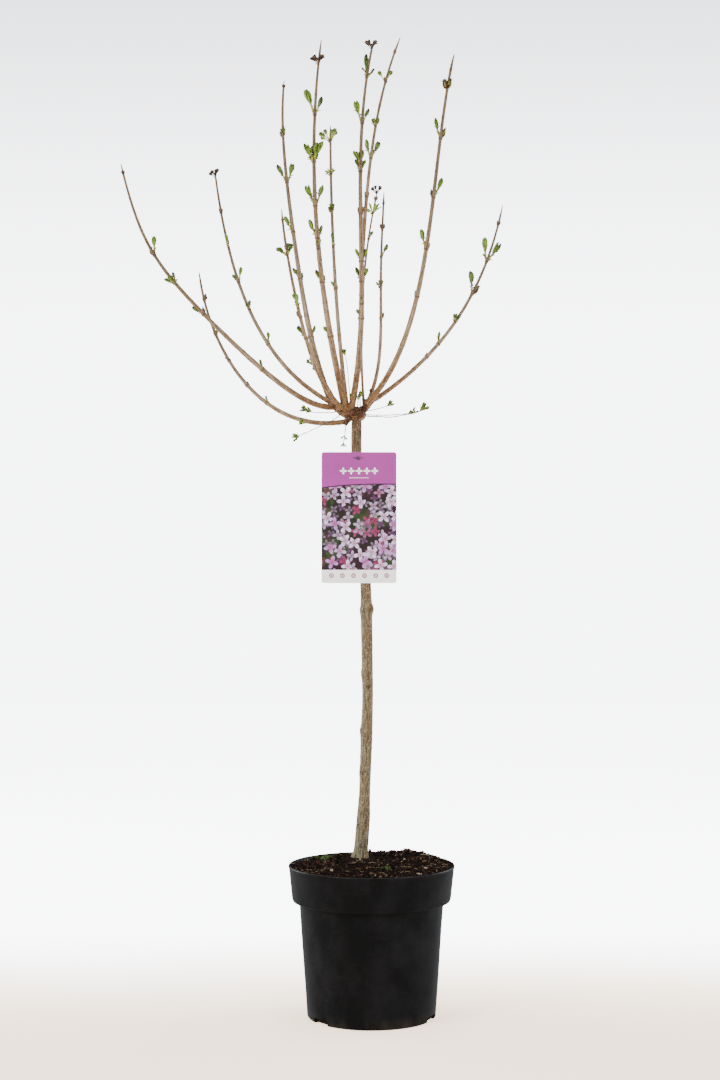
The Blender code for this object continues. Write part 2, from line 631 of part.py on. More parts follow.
def make_tag(finish):
    """The hanging tag: a thin plate with rounded corners and two slits near its top."""
    shape = bmesh.new()
    half_width, half_height = TAG_WIDTH / 2.0, TAG_HEIGHT / 2.0
    corners = ((1, 1, 0), (-1, 1, 90), (-1, -1, 180), (1, -1, 270))
    outline = []
    for right, up, start in corners:
        middle = (right * (half_width - TAG_CORNER), up * (half_height - TAG_CORNER))
        for degrees in (start, start + 45, start + 90):
            angle = math.radians(degrees)
            outline.append((middle[0] + TAG_CORNER * math.cos(angle),
                            middle[1] + TAG_CORNER * math.sin(angle)))
    face = shape.faces.new([shape.verts.new((x, TAG_THICK / 2.0, z)) for x, z in outline])
    raised = bmesh.ops.extrude_face_region(shape, geom=[face])
    moved = [item for item in raised["geom"] if isinstance(item, bmesh.types.BMVert)]
    bmesh.ops.translate(shape, vec=(0.0, -TAG_THICK, 0.0), verts=moved)
    bmesh.ops.translate(shape, vec=TAG_CENTRE, verts=shape.verts)
    tag = add_object("tag", mesh_from(shape, "tag"), finish)
    slits = []
    for number, side in enumerate((-1, 1)):
        place = (SLIT_MIDDLE[0] + side * SLIT_SPREAD, TAG_CENTRE[1], SLIT_MIDDLE[1])
        block = box_mesh((SLIT_SIZE[0], SLIT_DEPTH, SLIT_SIZE[1]), place)
        slits.append(add_object(f"slit_cutter_{number}", block))
    cut(tag, slits)


def band_plan(centre, radius):
    """The band's inner line seen from above: two ends in the slits and an arc round the stem's back."""
    slit, front = SLIT_MIDDLE[0], TAG_CENTRE[1] - TAG_THICK / 2.0 - GAP
    behind = TAG_CENTRE[1] + TAG_THICK / 2.0 + GAP
    angles = np.linspace(math.pi, 0.0, BAND_ARC_STEPS + 1)
    arc = [(centre[0] + radius * math.cos(a), centre[1] + radius * math.sin(a)) for a in angles]
    left, right = slit - SLIT_SPREAD, slit + SLIT_SPREAD
    return [(left, front), (left, behind)] + arc + [(right, behind), (right, front)]


def make_tag_band(finish):
    """The band that holds the tag: out through both slits and round the back of the stem."""
    height = SLIT_MIDDLE[1] + BAND_LIFT
    centre, radius = stem_at(height)
    plan = band_plan(centre, radius + BAND_PLAY)
    inner = [Vector((x, y, height - BAND_HEIGHT / 2.0)) for x, y in plan]
    middle = sum(inner, Vector()) / len(inner)
    outer = []
    for before, here, after in zip(inner[-1:] + inner[:-1], inner, inner[1:] + inner[:1]):
        square = (here - before).cross(Vector((0, 0, 1))).normalized()
        mitre = (square + (after - here).cross(Vector((0, 0, 1))).normalized()).normalized()
        if mitre.dot(here - middle) < 0.0:
            mitre.negate()
        outer.append(here + mitre * BAND_THICK / max(abs(mitre.dot(square)), BAND_MITRE))
    shape = bmesh.new()
    low_in, low_out = [[shape.verts.new(point) for point in line] for line in (inner, outer)]
    up = Vector((0.0, 0.0, BAND_HEIGHT))
    high_in, high_out = [[shape.verts.new(point + up) for point in line] for line in (inner, outer)]
    for here in range(len(inner)):
        after = (here + 1) % len(inner)
        shape.faces.new((low_in[here], low_in[after], low_out[after], low_out[here]))
        shape.faces.new((high_in[here], high_out[here], high_out[after], high_in[after]))
        shape.faces.new((low_in[here], high_in[here], high_in[after], low_in[after]))
        shape.faces.new((low_out[here], low_out[after], high_out[after], high_out[here]))
    add_object("tag_band", mesh_from(shape, "tag_band"), finish)


def clear_of(rounds, others):
    """True where a run of rounds keeps its clearance from every other run."""
    return all(space_between(*rounds, *other).min() > CLEARANCE for other in others)


def find_joints(roots, rounds, head_rounds):
    """For each limb, the share of its length where it leaves the piece that it is fused to."""
    joints = {}
    for limb in LIMBS:
        others = [rounds[other.name] for other in LIMBS
                  if other is not limb and other.carrier != limb.name]
        others += [root_rounds(line) for name, line in roots.items() if name != limb.name]
        joints[limb.name] = joint_share(limb, others + head_rounds)
    return joints


def make_limb(limb, joints, rounds, kept_buds, wood, foliage):
    """A limb's bare bough, and its leafy shoot with the buds that stand clear of everything else.

    kept_buds holds the name of its limb and the rounds of each bud made so far.
    """
    start = joints[limb.name] + GAP / limb.length
    if limb.leafy > start:
        bough = stretch(limb, start, limb.leafy, LIMB_SIDES, LIMB_SPACING)
        add_object(f"bough_{limb.name}", bough, wood)
        start = limb.leafy + GAP / limb.length
    pieces = [stretch(limb, start, 1.0, SHOOT_SIDES, LIMB_SPACING)]
    for fork in LIMBS:
        if fork.carrier == limb.name:
            pieces.append(stretch(fork, 0.0, joints[fork.name], SHOOT_SIDES, STUB_SPACING))
    others = [there for name, there in rounds.items() if name != limb.name]
    others += [there for name, there in kept_buds if name != limb.name]
    for bud in buds_of(limb):
        there = bud_rounds(bud)
        if clear_of(there, others):
            kept_buds.append((limb.name, there))
            pieces.append(bud_solid(*bud))
    prefix = "" if limb.name.startswith("wisp") else "shoot_"
    fuse(prefix + limb.name, pieces, foliage)


def main():
    for old in list(bpy.data.objects):
        bpy.data.objects.remove(old)
    bark = material("bark", (0.30, 0.24, 0.16), 0.8)
    young_bark = material("young_bark", (0.42, 0.30, 0.18), 0.75)
    leafy_shoot = material("leafy_shoot", (0.30, 0.36, 0.12), 0.7)
    black_plastic = material("black_plastic", (0.02, 0.02, 0.022), 0.45)
    peat = material("peat", (0.045, 0.03, 0.022), 0.95)
    printed_card = material("printed_card", (0.55, 0.22, 0.45), 0.4)
    dark_band = material("dark_band", (0.12, 0.08, 0.14), 0.5)

    make_pot(black_plastic)
    make_soil(peat)
    stem_centres, stem_radii, stem_heading = make_trunk(bark)
    stem_rounds = (np.array(stem_centres), np.array(stem_radii))

    arms = [Limb(f"arm_{number}", curve, ARM_THICK) for number, curve in enumerate(ARMS)]
    burl = (np.array([BURL_CENTRE]), np.array([max(BURL_SIZE)]))
    knobs = (np.array([knob[:3] for knob in KNOBS]), np.array([knob[3] for knob in KNOBS]))
    roots = {limb.name: root_line(limb, arms) for limb in LIMBS if limb.carrier == "graft_head"}
    rounds = {limb.name: rounds_of(limb) for limb in LIMBS}
    joints = find_joints(roots, rounds, [burl, knobs, stem_rounds] + [rounds_of(arm) for arm in arms])

    stubs = [root_piece(line) for line in roots.values()]
    stubs += [stretch(limb, 0.0, joints[limb.name], LIMB_SIDES, STUB_SPACING)
              for limb in LIMBS if limb.name in roots]
    make_graft_head(stem_centres[-1], stem_radii[-1], stem_heading, arms, stubs, young_bark)
    rounds["stem"] = stem_rounds
    kept_buds = []
    for limb in LIMBS:
        make_limb(limb, joints, rounds, kept_buds, young_bark, leafy_shoot)
    make_tag(printed_card)
    make_tag_band(dark_band)


main()
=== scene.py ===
# A grafted lilac in early spring: bark, opening buds, soil, pot and tag.
# Metres, +Z up. The origin is under the middle of the pot, and -Y is the front.

import math

import bmesh
import bpy
import numpy as np
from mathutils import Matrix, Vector


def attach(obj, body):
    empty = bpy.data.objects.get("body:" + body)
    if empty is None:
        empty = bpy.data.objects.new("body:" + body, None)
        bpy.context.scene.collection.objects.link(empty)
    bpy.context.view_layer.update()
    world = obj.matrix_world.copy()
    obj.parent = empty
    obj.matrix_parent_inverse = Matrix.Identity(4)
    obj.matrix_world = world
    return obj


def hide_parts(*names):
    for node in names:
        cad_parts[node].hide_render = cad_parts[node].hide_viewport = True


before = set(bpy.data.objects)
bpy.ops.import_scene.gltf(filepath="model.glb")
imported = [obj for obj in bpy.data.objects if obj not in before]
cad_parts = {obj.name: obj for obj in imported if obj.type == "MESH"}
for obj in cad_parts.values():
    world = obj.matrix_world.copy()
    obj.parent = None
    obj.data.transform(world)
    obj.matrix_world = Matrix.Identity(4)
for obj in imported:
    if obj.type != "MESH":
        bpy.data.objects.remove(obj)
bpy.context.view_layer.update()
print("frame loaded")

mm = 0.001
turn = 2.0 * math.pi
goldenAngle = math.radians(137.5)


# Meshes

def placed(name, data):
    thing = bpy.data.objects.new(name, data)
    bpy.context.scene.collection.objects.link(thing)
    return thing


def putMesh(name, points, quads, triangles, finishes, finishOf=None, marks=None, smooth=True):
    # One closed skin or many, turned outwards: where the sum of its signed volumes is negative, each
    # face is wound the other way. finishOf gives each quad and then each triangle its finish.
    fans = np.concatenate([quads[:, [0, 1, 2]], quads[:, [0, 2, 3]], triangles])
    first, second, third = points[fans[:, 0]], points[fans[:, 1]], points[fans[:, 2]]
    if np.einsum("ij,ij->", first, np.cross(second, third)) < 0.0:
        quads, triangles = quads[:, ::-1], triangles[:, ::-1]
    corners = np.concatenate([quads.ravel(), triangles.ravel()])
    starts = np.concatenate([np.arange(len(quads)) * 4, len(quads) * 4 + np.arange(len(triangles)) * 3])
    mesh = bpy.data.meshes.new(name)
    mesh.vertices.add(len(points))
    mesh.vertices.foreach_set("co", points.astype(np.float32).ravel())
    mesh.loops.add(len(corners))
    mesh.loops.foreach_set("vertex_index", corners.astype(np.int32))
    mesh.polygons.add(len(starts))
    mesh.polygons.foreach_set("loop_start", starts.astype(np.int32))
    mesh.polygons.foreach_set("use_smooth", np.full(len(starts), smooth))
    if finishOf is not None:
        mesh.polygons.foreach_set("material_index", finishOf.astype(np.int32))
    mesh.update(calc_edges=True)
    for label, values in (marks or {}).items():
        kind, field = ("FLOAT_VECTOR", "vector") if values.ndim == 2 else ("FLOAT", "value")
        mesh.attributes.new(label, kind, "POINT").data.foreach_set(field, values.astype(np.float32).ravel())
    for finish in finishes:
        mesh.materials.append(finish)
    return placed(name, mesh)


def keep(piece, slot, *nodes):
    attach(piece, "root")
    if nodes:
        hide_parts(*nodes)
    return piece


def skinFaces(rows, columns):
    # Quads between the rings of a closed skin, and a fan from its first and last ring to a pole.
    ring = np.arange(columns)
    after = (ring + 1) % columns
    steps = np.arange(rows - 1)[:, None] * columns
    sides = [ring + steps, after + steps, after + steps + columns, ring + steps + columns]
    quads = np.stack(sides, axis=-1).reshape(-1, 4)
    foot, last = rows * columns, (rows - 1) * columns
    low = np.stack([np.full(columns, foot), after, ring], axis=-1)
    high = np.stack([np.full(columns, foot + 1), ring + last, after + last], axis=-1)
    return quads, np.concatenate([low, high])


def skins(grids, poles):
    # Many closed skins of one pattern: grids is (count, rows, columns, 3) and poles is (count, 2, 3).
    count, rows, columns, _ = grids.shape
    points = np.concatenate([grids.reshape(count, rows * columns, 3), poles], axis=1)
    quads, triangles = skinFaces(rows, columns)
    shift = (np.arange(count) * (rows * columns + 2))[:, None, None]
    return points.reshape(-1, 3), (quads + shift).reshape(-1, 4), (triangles + shift).reshape(-1, 3)


def joinedSkins(parts):
    # Several (points, quads, triangles) as one: each one's faces count on from the points before it.
    shifts = np.cumsum([0] + [len(part[0]) for part in parts[:-1]])
    joined = [(points, quads + shift, triangles + shift)
              for (points, quads, triangles), shift in zip(parts, shifts)]
    return [np.concatenate(group) for group in zip(*joined)]


def roundAngles(count):
    return np.linspace(0.0, turn, count, endpoint=False)


def unit(vectors):
    return vectors / np.linalg.norm(vectors, axis=-1, keepdims=True)


def square(vectors, headings):
    # The part of each vector that is square to its heading, at length 1.
    return unit(vectors - headings * (vectors * headings).sum(axis=-1, keepdims=True))


# Curves

def bezier(points, t):
    # The sum of each control point times its Bernstein polynomial.
    degree = len(points) - 1
    weights = [math.comb(degree, i) * (1.0 - t) ** (degree - i) * t**i for i in range(degree + 1)]
    return np.stack(weights, axis=-1) @ np.array(points)


def measured(curve):
    # A curve's places with the share of its length at each of them, and its length.
    places = bezier(curve, np.linspace(0.0, 1.0, 161))
    steps = np.linalg.norm(np.diff(places, axis=0), axis=1)
    return places, np.concatenate([[0.0], np.cumsum(steps)]) / steps.sum(), steps.sum()


def placeAt(line, shares):
    places, known, _ = line
    return np.stack([np.interp(shares, known, places[:, axis]) for axis in range(3)], axis=-1)


def headingAt(line, shares):
    shares = np.asarray(shares, float)
    return unit(placeAt(line, np.minimum(shares + 0.01, 1.0)) - placeAt(line, np.maximum(shares - 0.01, 0.0)))


# Relief

def ripples(along, angles, rng, waves, height, turns, pitch):
    # A sum of waves that run round the limb a whole number of times and along it at their own pitch.
    rounds = rng.integers(turns[0], turns[1] + 1, waves)
    pace = rng.uniform(-1.0, 1.0, waves) * turn / pitch
    phase = rng.uniform(0.0, turn, waves)
    strength = rng.uniform(0.4, 1.0, waves) / math.sqrt(waves)
    wave = (rounds[:, None, None] * angles[None, None, :] + pace[:, None, None] * along[None, :, None]
            + phase[:, None, None])
    return height * (strength[:, None, None] * np.cos(wave)).sum(axis=0)


def dots(along, angles, radius, rng, count, size):
    # Round or long bumps over the bark: each is exp(-(distance / size)^2), and the highest wins.
    total = np.zeros((len(along), len(angles)))
    for place, angle, grow in zip(rng.uniform(along[0], along[-1], count), rng.uniform(0.0, turn, count),
                                  rng.uniform(0.6, 1.3, count)):
        rows = np.flatnonzero(np.abs(along - place) < 3.0 * size[1])
        off = (angles - angle + math.pi) % turn - math.pi
        around = (off[None, :] * radius[rows, None]) / (size[0] * grow)
        up = ((along[rows] - place) / (size[1] * grow))[:, None]
        total[rows] = np.maximum(total[rows], np.exp(-(around**2) - up**2))
    return total


def bump(distance, width):
    return np.exp(-((distance / width) ** 2))


# Shader groups and finishes

def plug(tree, node, values):
    # Each value goes into the node's input of that name or number: a socket is linked, anything else is
    # set, and a plain colour is made opaque first.
    for key, value in values.items():
        socket = node.inputs[key]
        if isinstance(value, bpy.types.NodeSocket):
            tree.links.new(value, socket)
        else:
            socket.default_value = (*value, 1.0) if socket.type == "RGBA" else value


def makeNode(tree, kind, values=None, **settings):
    node = tree.nodes.new("ShaderNode" + kind)
    for key, value in settings.items():
        setattr(node, key, value)
    plug(tree, node, values or {})
    return node


def calc(tree, operation, *values):
    return makeNode(tree, "Math", dict(enumerate(values)), operation=operation).outputs[0]


def vectorCalc(tree, operation, values):
    return makeNode(tree, "VectorMath", values, operation=operation).outputs[0]


def times(tree, first, second):
    return calc(tree, "MULTIPLY", first, second)


def ramp(tree, value, start, end, low=0.0, high=1.0, **settings):
    # The way of the value from start to end becomes the way from low to high.
    values = {"Value": value, "From Min": start, "From Max": end, "To Min": low, "To Max": high}
    return makeNode(tree, "MapRange", values, **settings).outputs[0]


def mixed(tree, factor, first, second):
    return makeNode(tree, "Mix", {0: factor, 6: first, 7: second}, data_type="RGBA").outputs[2]


def makeGroup(name, inputs, outputs):
    # A number makes a number socket, and anything else a vector socket.
    group = bpy.data.node_groups.new(name, "ShaderNodeTree")
    for side, sockets in (("INPUT", inputs), ("OUTPUT", outputs)):
        for label, value in sockets.items():
            kind = "NodeSocketFloat" if isinstance(value, float) else "NodeSocketVector"
            socket = group.interface.new_socket(label, in_out=side, socket_type=kind)
            if value is not None:
                socket.default_value = value
    return group, group.nodes.new("NodeGroupInput").outputs, group.nodes.new("NodeGroupOutput")


def grainGroup():
    # Clouds of noise, squeezed by Stretch, spread from 0 to 1 between Low and High.
    group, given, out = makeGroup("grain", {"Vector": None, "Stretch": (1.0, 1.0, 1.0), "Scale": 100.0,
                                            "Detail": 4.0, "Low": 0.35, "High": 0.65}, {"Mask": 0.0})
    squeezed = vectorCalc(group, "MULTIPLY", {0: given["Vector"], 1: given["Stretch"]})
    noise = makeNode(group, "TexNoise", {"Vector": squeezed, "Scale": given["Scale"],
                                         "Detail": given["Detail"], "Roughness": 0.6})
    plug(group, out, {"Mask": ramp(group, noise.outputs[0], given["Low"], given["High"])})
    return group


def speckGroup():
    # Round specks: the middle of each cell of a pattern of cells, out to Size.
    group, given, out = makeGroup("specks", {"Vector": None, "Scale": 100.0, "Size": 0.25,
                                             "Softness": 0.1}, {"Mask": 0.0})
    cells = makeNode(group, "TexVoronoi", {"Vector": given["Vector"], "Scale": given["Scale"]})
    inner = calc(group, "SUBTRACT", given["Size"], given["Softness"])
    plug(group, out, {"Mask": ramp(group, cells.outputs["Distance"], given["Size"], inner)})
    return group


def reliefGroup():
    # A height as a bumped normal.
    group, given, out = makeGroup("relief", {"Height": 0.0, "Strength": 0.5, "Distance": 0.0002},
                                  {"Normal": None})
    lift = makeNode(group, "Bump", {label: given[label] for label in ("Height", "Strength", "Distance")})
    plug(group, out, {"Normal": lift.outputs[0]})
    return group


groups = {"grain": grainGroup(), "specks": speckGroup(), "relief": reliefGroup()}


def effect(tree, name, **values):
    # One of the shader groups, with its own values; the first output is returned.
    node = makeNode(tree, "Group", node_tree=groups[name])
    plug(tree, node, {label.capitalize(): value for label, value in values.items()})
    return node.outputs[0]


def grain(tree, vector, scale, detail, low, high, upwards=1.0):
    # Clouds that are drawn out upwards where upwards is below 1, and flat where it is above.
    return effect(tree, "grain", vector=vector, stretch=(1.0, 1.0, upwards), scale=scale, detail=detail,
                  low=low, high=high)


def scaled(colour, factor):
    return tuple(min(channel * factor, 1.0) for channel in colour)


def newFinish(name):
    finish = bpy.data.materials.new(name)
    finish.use_nodes = True
    tree = finish.node_tree
    return finish, tree, tree.nodes["Principled BSDF"], makeNode(tree, "TexCoord").outputs["Object"]


def mark(tree, label, output="Fac"):
    return makeNode(tree, "Attribute", attribute_name=label).outputs[output]


def barkFinish(name, look):
    # Bark: fibres along the limb, clouds of an older and a fresher tone, pale pores and darker nodes.
    finish, tree, shader, _ = newFinish(name)
    place = mark(tree, "barkPlace", "Vector")
    fibres = grain(tree, place, look["fibreScale"], 6.0, 0.36, 0.64, look["fibreStretch"])
    clouds = grain(tree, place, look["cloudScale"], 4.0, 0.42, 0.62, 0.35)
    flecks = grain(tree, place, look["fleckScale"], 3.0, 0.55, 0.68, 0.5)
    age = mark(tree, "ageMark")
    lit = mixed(tree, mark(tree, "paleMark"), look["base"], look.get("pale", look["base"]))
    colour = mixed(tree, fibres, look["dark"], mixed(tree, age, lit, look["young"]))
    less = ramp(tree, age, 0.0, 1.0, look["cloudShare"], look["cloudShare"] * 0.35)
    for tone, mask, share in (("cloud", clouds, less), ("fleck", flecks, look["fleckShare"]),
                              ("pore", mark(tree, "poreMark"), look["poreShare"]),
                              ("node", mark(tree, "nodeMark"), look["nodeShare"])):
        colour = mixed(tree, times(tree, mask, share), colour, look[tone])
    smooth, rough = look["rough"]
    plug(tree, shader, {
        "Base Color": colour, "Roughness": ramp(tree, fibres, 0.0, 1.0, rough, smooth),
        "Specular IOR Level": look["shine"],
        "Normal": effect(tree, "relief", height=fibres, strength=0.6, distance=look["bump"])})
    return finish


def leafFinish(name, colour, roughness=0.5, spread=0.3, shine=0.35):
    # A plain leaf colour with a soft cloud of a lighter and a darker tone.
    finish, tree, shader, where = newFinish(name)
    clouds = grain(tree, where, 420.0, 3.0, 0.3, 0.7)
    plug(tree, shader, {
        "Base Color": mixed(tree, clouds, scaled(colour, 1.0 - spread), scaled(colour, 1.0 + spread)),
        "Roughness": ramp(tree, clouds, 0.0, 1.0, roughness + 0.08, roughness - 0.08),
        "Specular IOR Level": shine,
        "Normal": effect(tree, "relief", height=clouds, strength=0.35, distance=0.0001)})
    return finish


# The stem

stemPlan = {
    # height, lean to the right, depth, diameter
    "places": ((0.2058, -0.0145, 0.0250, 0.0240), (0.2140, -0.0142, 0.0250, 0.0200),
               (0.2330, -0.0126, 0.0246, 0.0186), (0.2570, -0.0108, 0.0240, 0.0180),
               (0.2900, -0.0092, 0.0230, 0.0152), (0.3290, -0.0077, 0.0220, 0.0154),
               (0.3700, -0.0064, 0.0200, 0.0158), (0.4170, -0.0052, 0.0180, 0.0145),
               (0.4700, -0.0056, 0.0170, 0.0150), (0.5220, -0.0065, 0.0160, 0.0155),
               (0.5730, -0.0077, 0.0150, 0.0143), (0.6630, -0.0139, 0.0140, 0.0140),
               (0.7470, -0.0200, 0.0120, 0.0139), (0.7830, -0.0197, 0.0120, 0.0134),
               (0.7980, -0.0192, 0.0120, 0.0122)),
    # height, degrees round to the right, how far it stands out
    "knots": ((0.375, -70, 0.0018), (0.435, 10, 0.0014), (0.452, -80, 0.0016), (0.538, 75, 0.0030),
              (0.536, -80, 0.0018), (0.320, -60, 0.0012)),
    "knotSize": 0.006,
    "eye": (0.0006, 0.0022, 0.0035),  # depth, size, and size of the dark round it
    "sides": 72,
    "step": 0.0008,
    "pores": 2600,
    "poreSize": (0.00042, 0.00050),
    "poreHeight": 0.00020,
    "ridgeHeight": 0.00022,
    "wrinkleHeight": 0.00010,
    "flare": (0.0012, 0.006),
    "greyUpTo": (0.45, 0.62),
    "greyShare": 0.85,
    "patchAge": 0.25,
}

stemBark = barkFinish("stemBark", {
    "base": (0.122, 0.080, 0.038), "dark": (0.030, 0.021, 0.012), "cloud": (0.112, 0.050, 0.020),
    "fleck": (0.24, 0.20, 0.13), "young": (0.232, 0.226, 0.142), "pore": (0.44, 0.36, 0.24),
    "node": (0.030, 0.012, 0.007), "fibreStretch": 0.10, "fibreScale": 700.0, "cloudScale": 110.0,
    "cloudShare": 0.75, "fleckScale": 420.0, "fleckShare": 0.3, "poreShare": 0.8,
    "nodeShare": 0.92, "rough": (0.72, 0.9), "shine": 0.2, "bump": 0.0005})


def stemLine(heights):
    # Smooth steps between the measured places, with the slope at each taken across its neighbours.
    rows = np.array(stemPlan["places"])
    slopes = np.gradient(rows[:, 1:], rows[:, 0], axis=0)
    step = np.clip(np.searchsorted(rows[:, 0], heights) - 1, 0, len(rows) - 2)
    reach = (rows[step + 1, 0] - rows[step, 0])[:, None]
    share = ((heights - rows[step, 0])[:, None] / reach).clip(0.0, 1.0)
    ease = 3 * share**2 - 2 * share**3
    values = ((1 - ease) * rows[step, 1:] + ease * rows[step + 1, 1:]
              + (share**3 - 2 * share**2 + share) * slopes[step] * reach
              + (share**3 - share**2) * slopes[step + 1] * reach)
    return np.column_stack([values[:, 0], values[:, 1], heights]), values[:, 2] / 2.0


def limbFrames(places):
    # At each place the heading, a side square to it that starts from +Y, and the third direction.
    headings = unit(np.gradient(places, axis=0))
    across = square(np.broadcast_to([0.0, 1.0, 0.0], places.shape), headings)
    return headings, across, np.cross(headings, across)


def barkSkin(places, radii, angles, proud):
    # A limb's skin: each ring is its radius plus the relief, out along cos(angle) and sin(angle).
    headings, across, over = limbFrames(places)
    reach = (radii[:, None] + proud)[..., None]
    out = (across[:, None] * np.cos(angles)[None, :, None] + over[:, None] * np.sin(angles)[None, :, None])
    points = places[:, None] + out * reach
    ends = np.stack([places[0] - headings[0] * radii[0] * 0.3, places[-1] + headings[-1] * radii[-1] * 0.5])
    return points, ends


def straightened(along, angles, radius):
    # Where a place would lie on a straight upright limb, so that the bark's pattern follows the limb.
    ring = np.stack([np.cos(angles), np.sin(angles)], axis=-1) * radius
    rows = np.broadcast_to(ring, (len(along), *ring.shape))
    heights = np.broadcast_to(along[:, None, None], (len(along), len(angles), 1))
    return np.concatenate([rows, heights], axis=-1)


def withPoles(values):
    # A value for each point of a skin, then one for each pole, taken from the nearest ring.
    flat = values.reshape(-1, *values.shape[2:])
    return np.concatenate([flat, values[:1].mean(axis=1), values[-1:].mean(axis=1)])


def makeStem():
    rng = np.random.default_rng(11)
    plan = stemPlan
    foot, top = plan["places"][0][0], plan["places"][-1][0]
    heights = np.arange(foot, top, plan["step"])
    places, radii = stemLine(heights)
    angles = roundAngles(plan["sides"])
    # the angle round from the front to the right, for the knots
    facing = np.arctan2(-np.sin(angles), -np.cos(angles))
    knots = np.zeros((len(heights), len(angles)))
    nodes = np.zeros_like(knots)
    eyeDepth, eyeSize, darkSize = plan["eye"]
    for height, degrees, proud in plan["knots"]:
        side = np.maximum(np.cos(facing - math.radians(degrees)), 0.0)[None, :]
        knots += proud * side**4 * bump(heights - height, plan["knotSize"])[:, None]
        knots -= eyeDepth * (side**24 * bump(heights - height, eyeSize)[:, None])
        nodes = np.maximum(nodes, 0.9 * side**10 * bump(heights - height, darkSize)[:, None])
    ridges = ripples(heights, angles, rng, 14, plan["ridgeHeight"], (2, 9), 0.060)
    wrinkles = ripples(heights, angles, rng, 18, plan["wrinkleHeight"], (6, 22), 0.010)
    pores = dots(heights, angles, radii, rng, plan["pores"], plan["poreSize"])
    flareSize, flareReach = plan["flare"]
    flare = flareSize * bump(heights - foot, flareReach)[:, None] * np.cos(3 * angles + 1.0)[None, :]
    proud = knots + ridges + wrinkles + flare + plan["poreHeight"] * pores
    points, ends = barkSkin(places, radii, angles, proud)
    # greyer towards the foot, where the bark has weathered most, and paler on its front left side, the side
    # the key lamp lights: painted light
    side = 0.55 + 0.45 * np.cos(facing + 1.0)[None, :]
    patches = plan["patchAge"] * ripples(heights, angles, rng, 16, 1.0, (1, 4), 0.05)
    knee, high = plan["greyUpTo"]
    age = np.interp(heights, (foot, knee, high, top), (1.0, 0.85, 0.45, 0.0))[:, None] * side
    age = (age + patches * (heights < high)[:, None]).clip(0.0, 1.0)
    marks = {"barkPlace": withPoles(straightened(heights, angles, radii.mean())),
             "poreMark": withPoles(pores), "nodeMark": withPoles(nodes),
             "ageMark": withPoles(age * plan["greyShare"])}
    keep(putMesh("stem", *skins(points[None], ends[None]), [stemBark], marks=marks), "bark", "trunk")


makeStem()
print("stem made")


# The limbs and the twigs: each grows along the Bezier curve of its points

def growth(*curve, thick=(1.2, 1.0), pairs=(), tufts=(), scars=(), forked=False):
    # Millimetres at the foot and the tip; how far along each pair of buds, each tuft and each old scar is;
    # a pair's degrees round to the front and its left and right bud in millimetres (0 for none, and below
    # 0 for a closed brown bud); a tuft's count, millimetres and kind; and whether it forks off a limb.
    return {"curve": curve, "thick": thick, "pairs": pairs, "tufts": tufts, "scars": scars, "forked": forked}


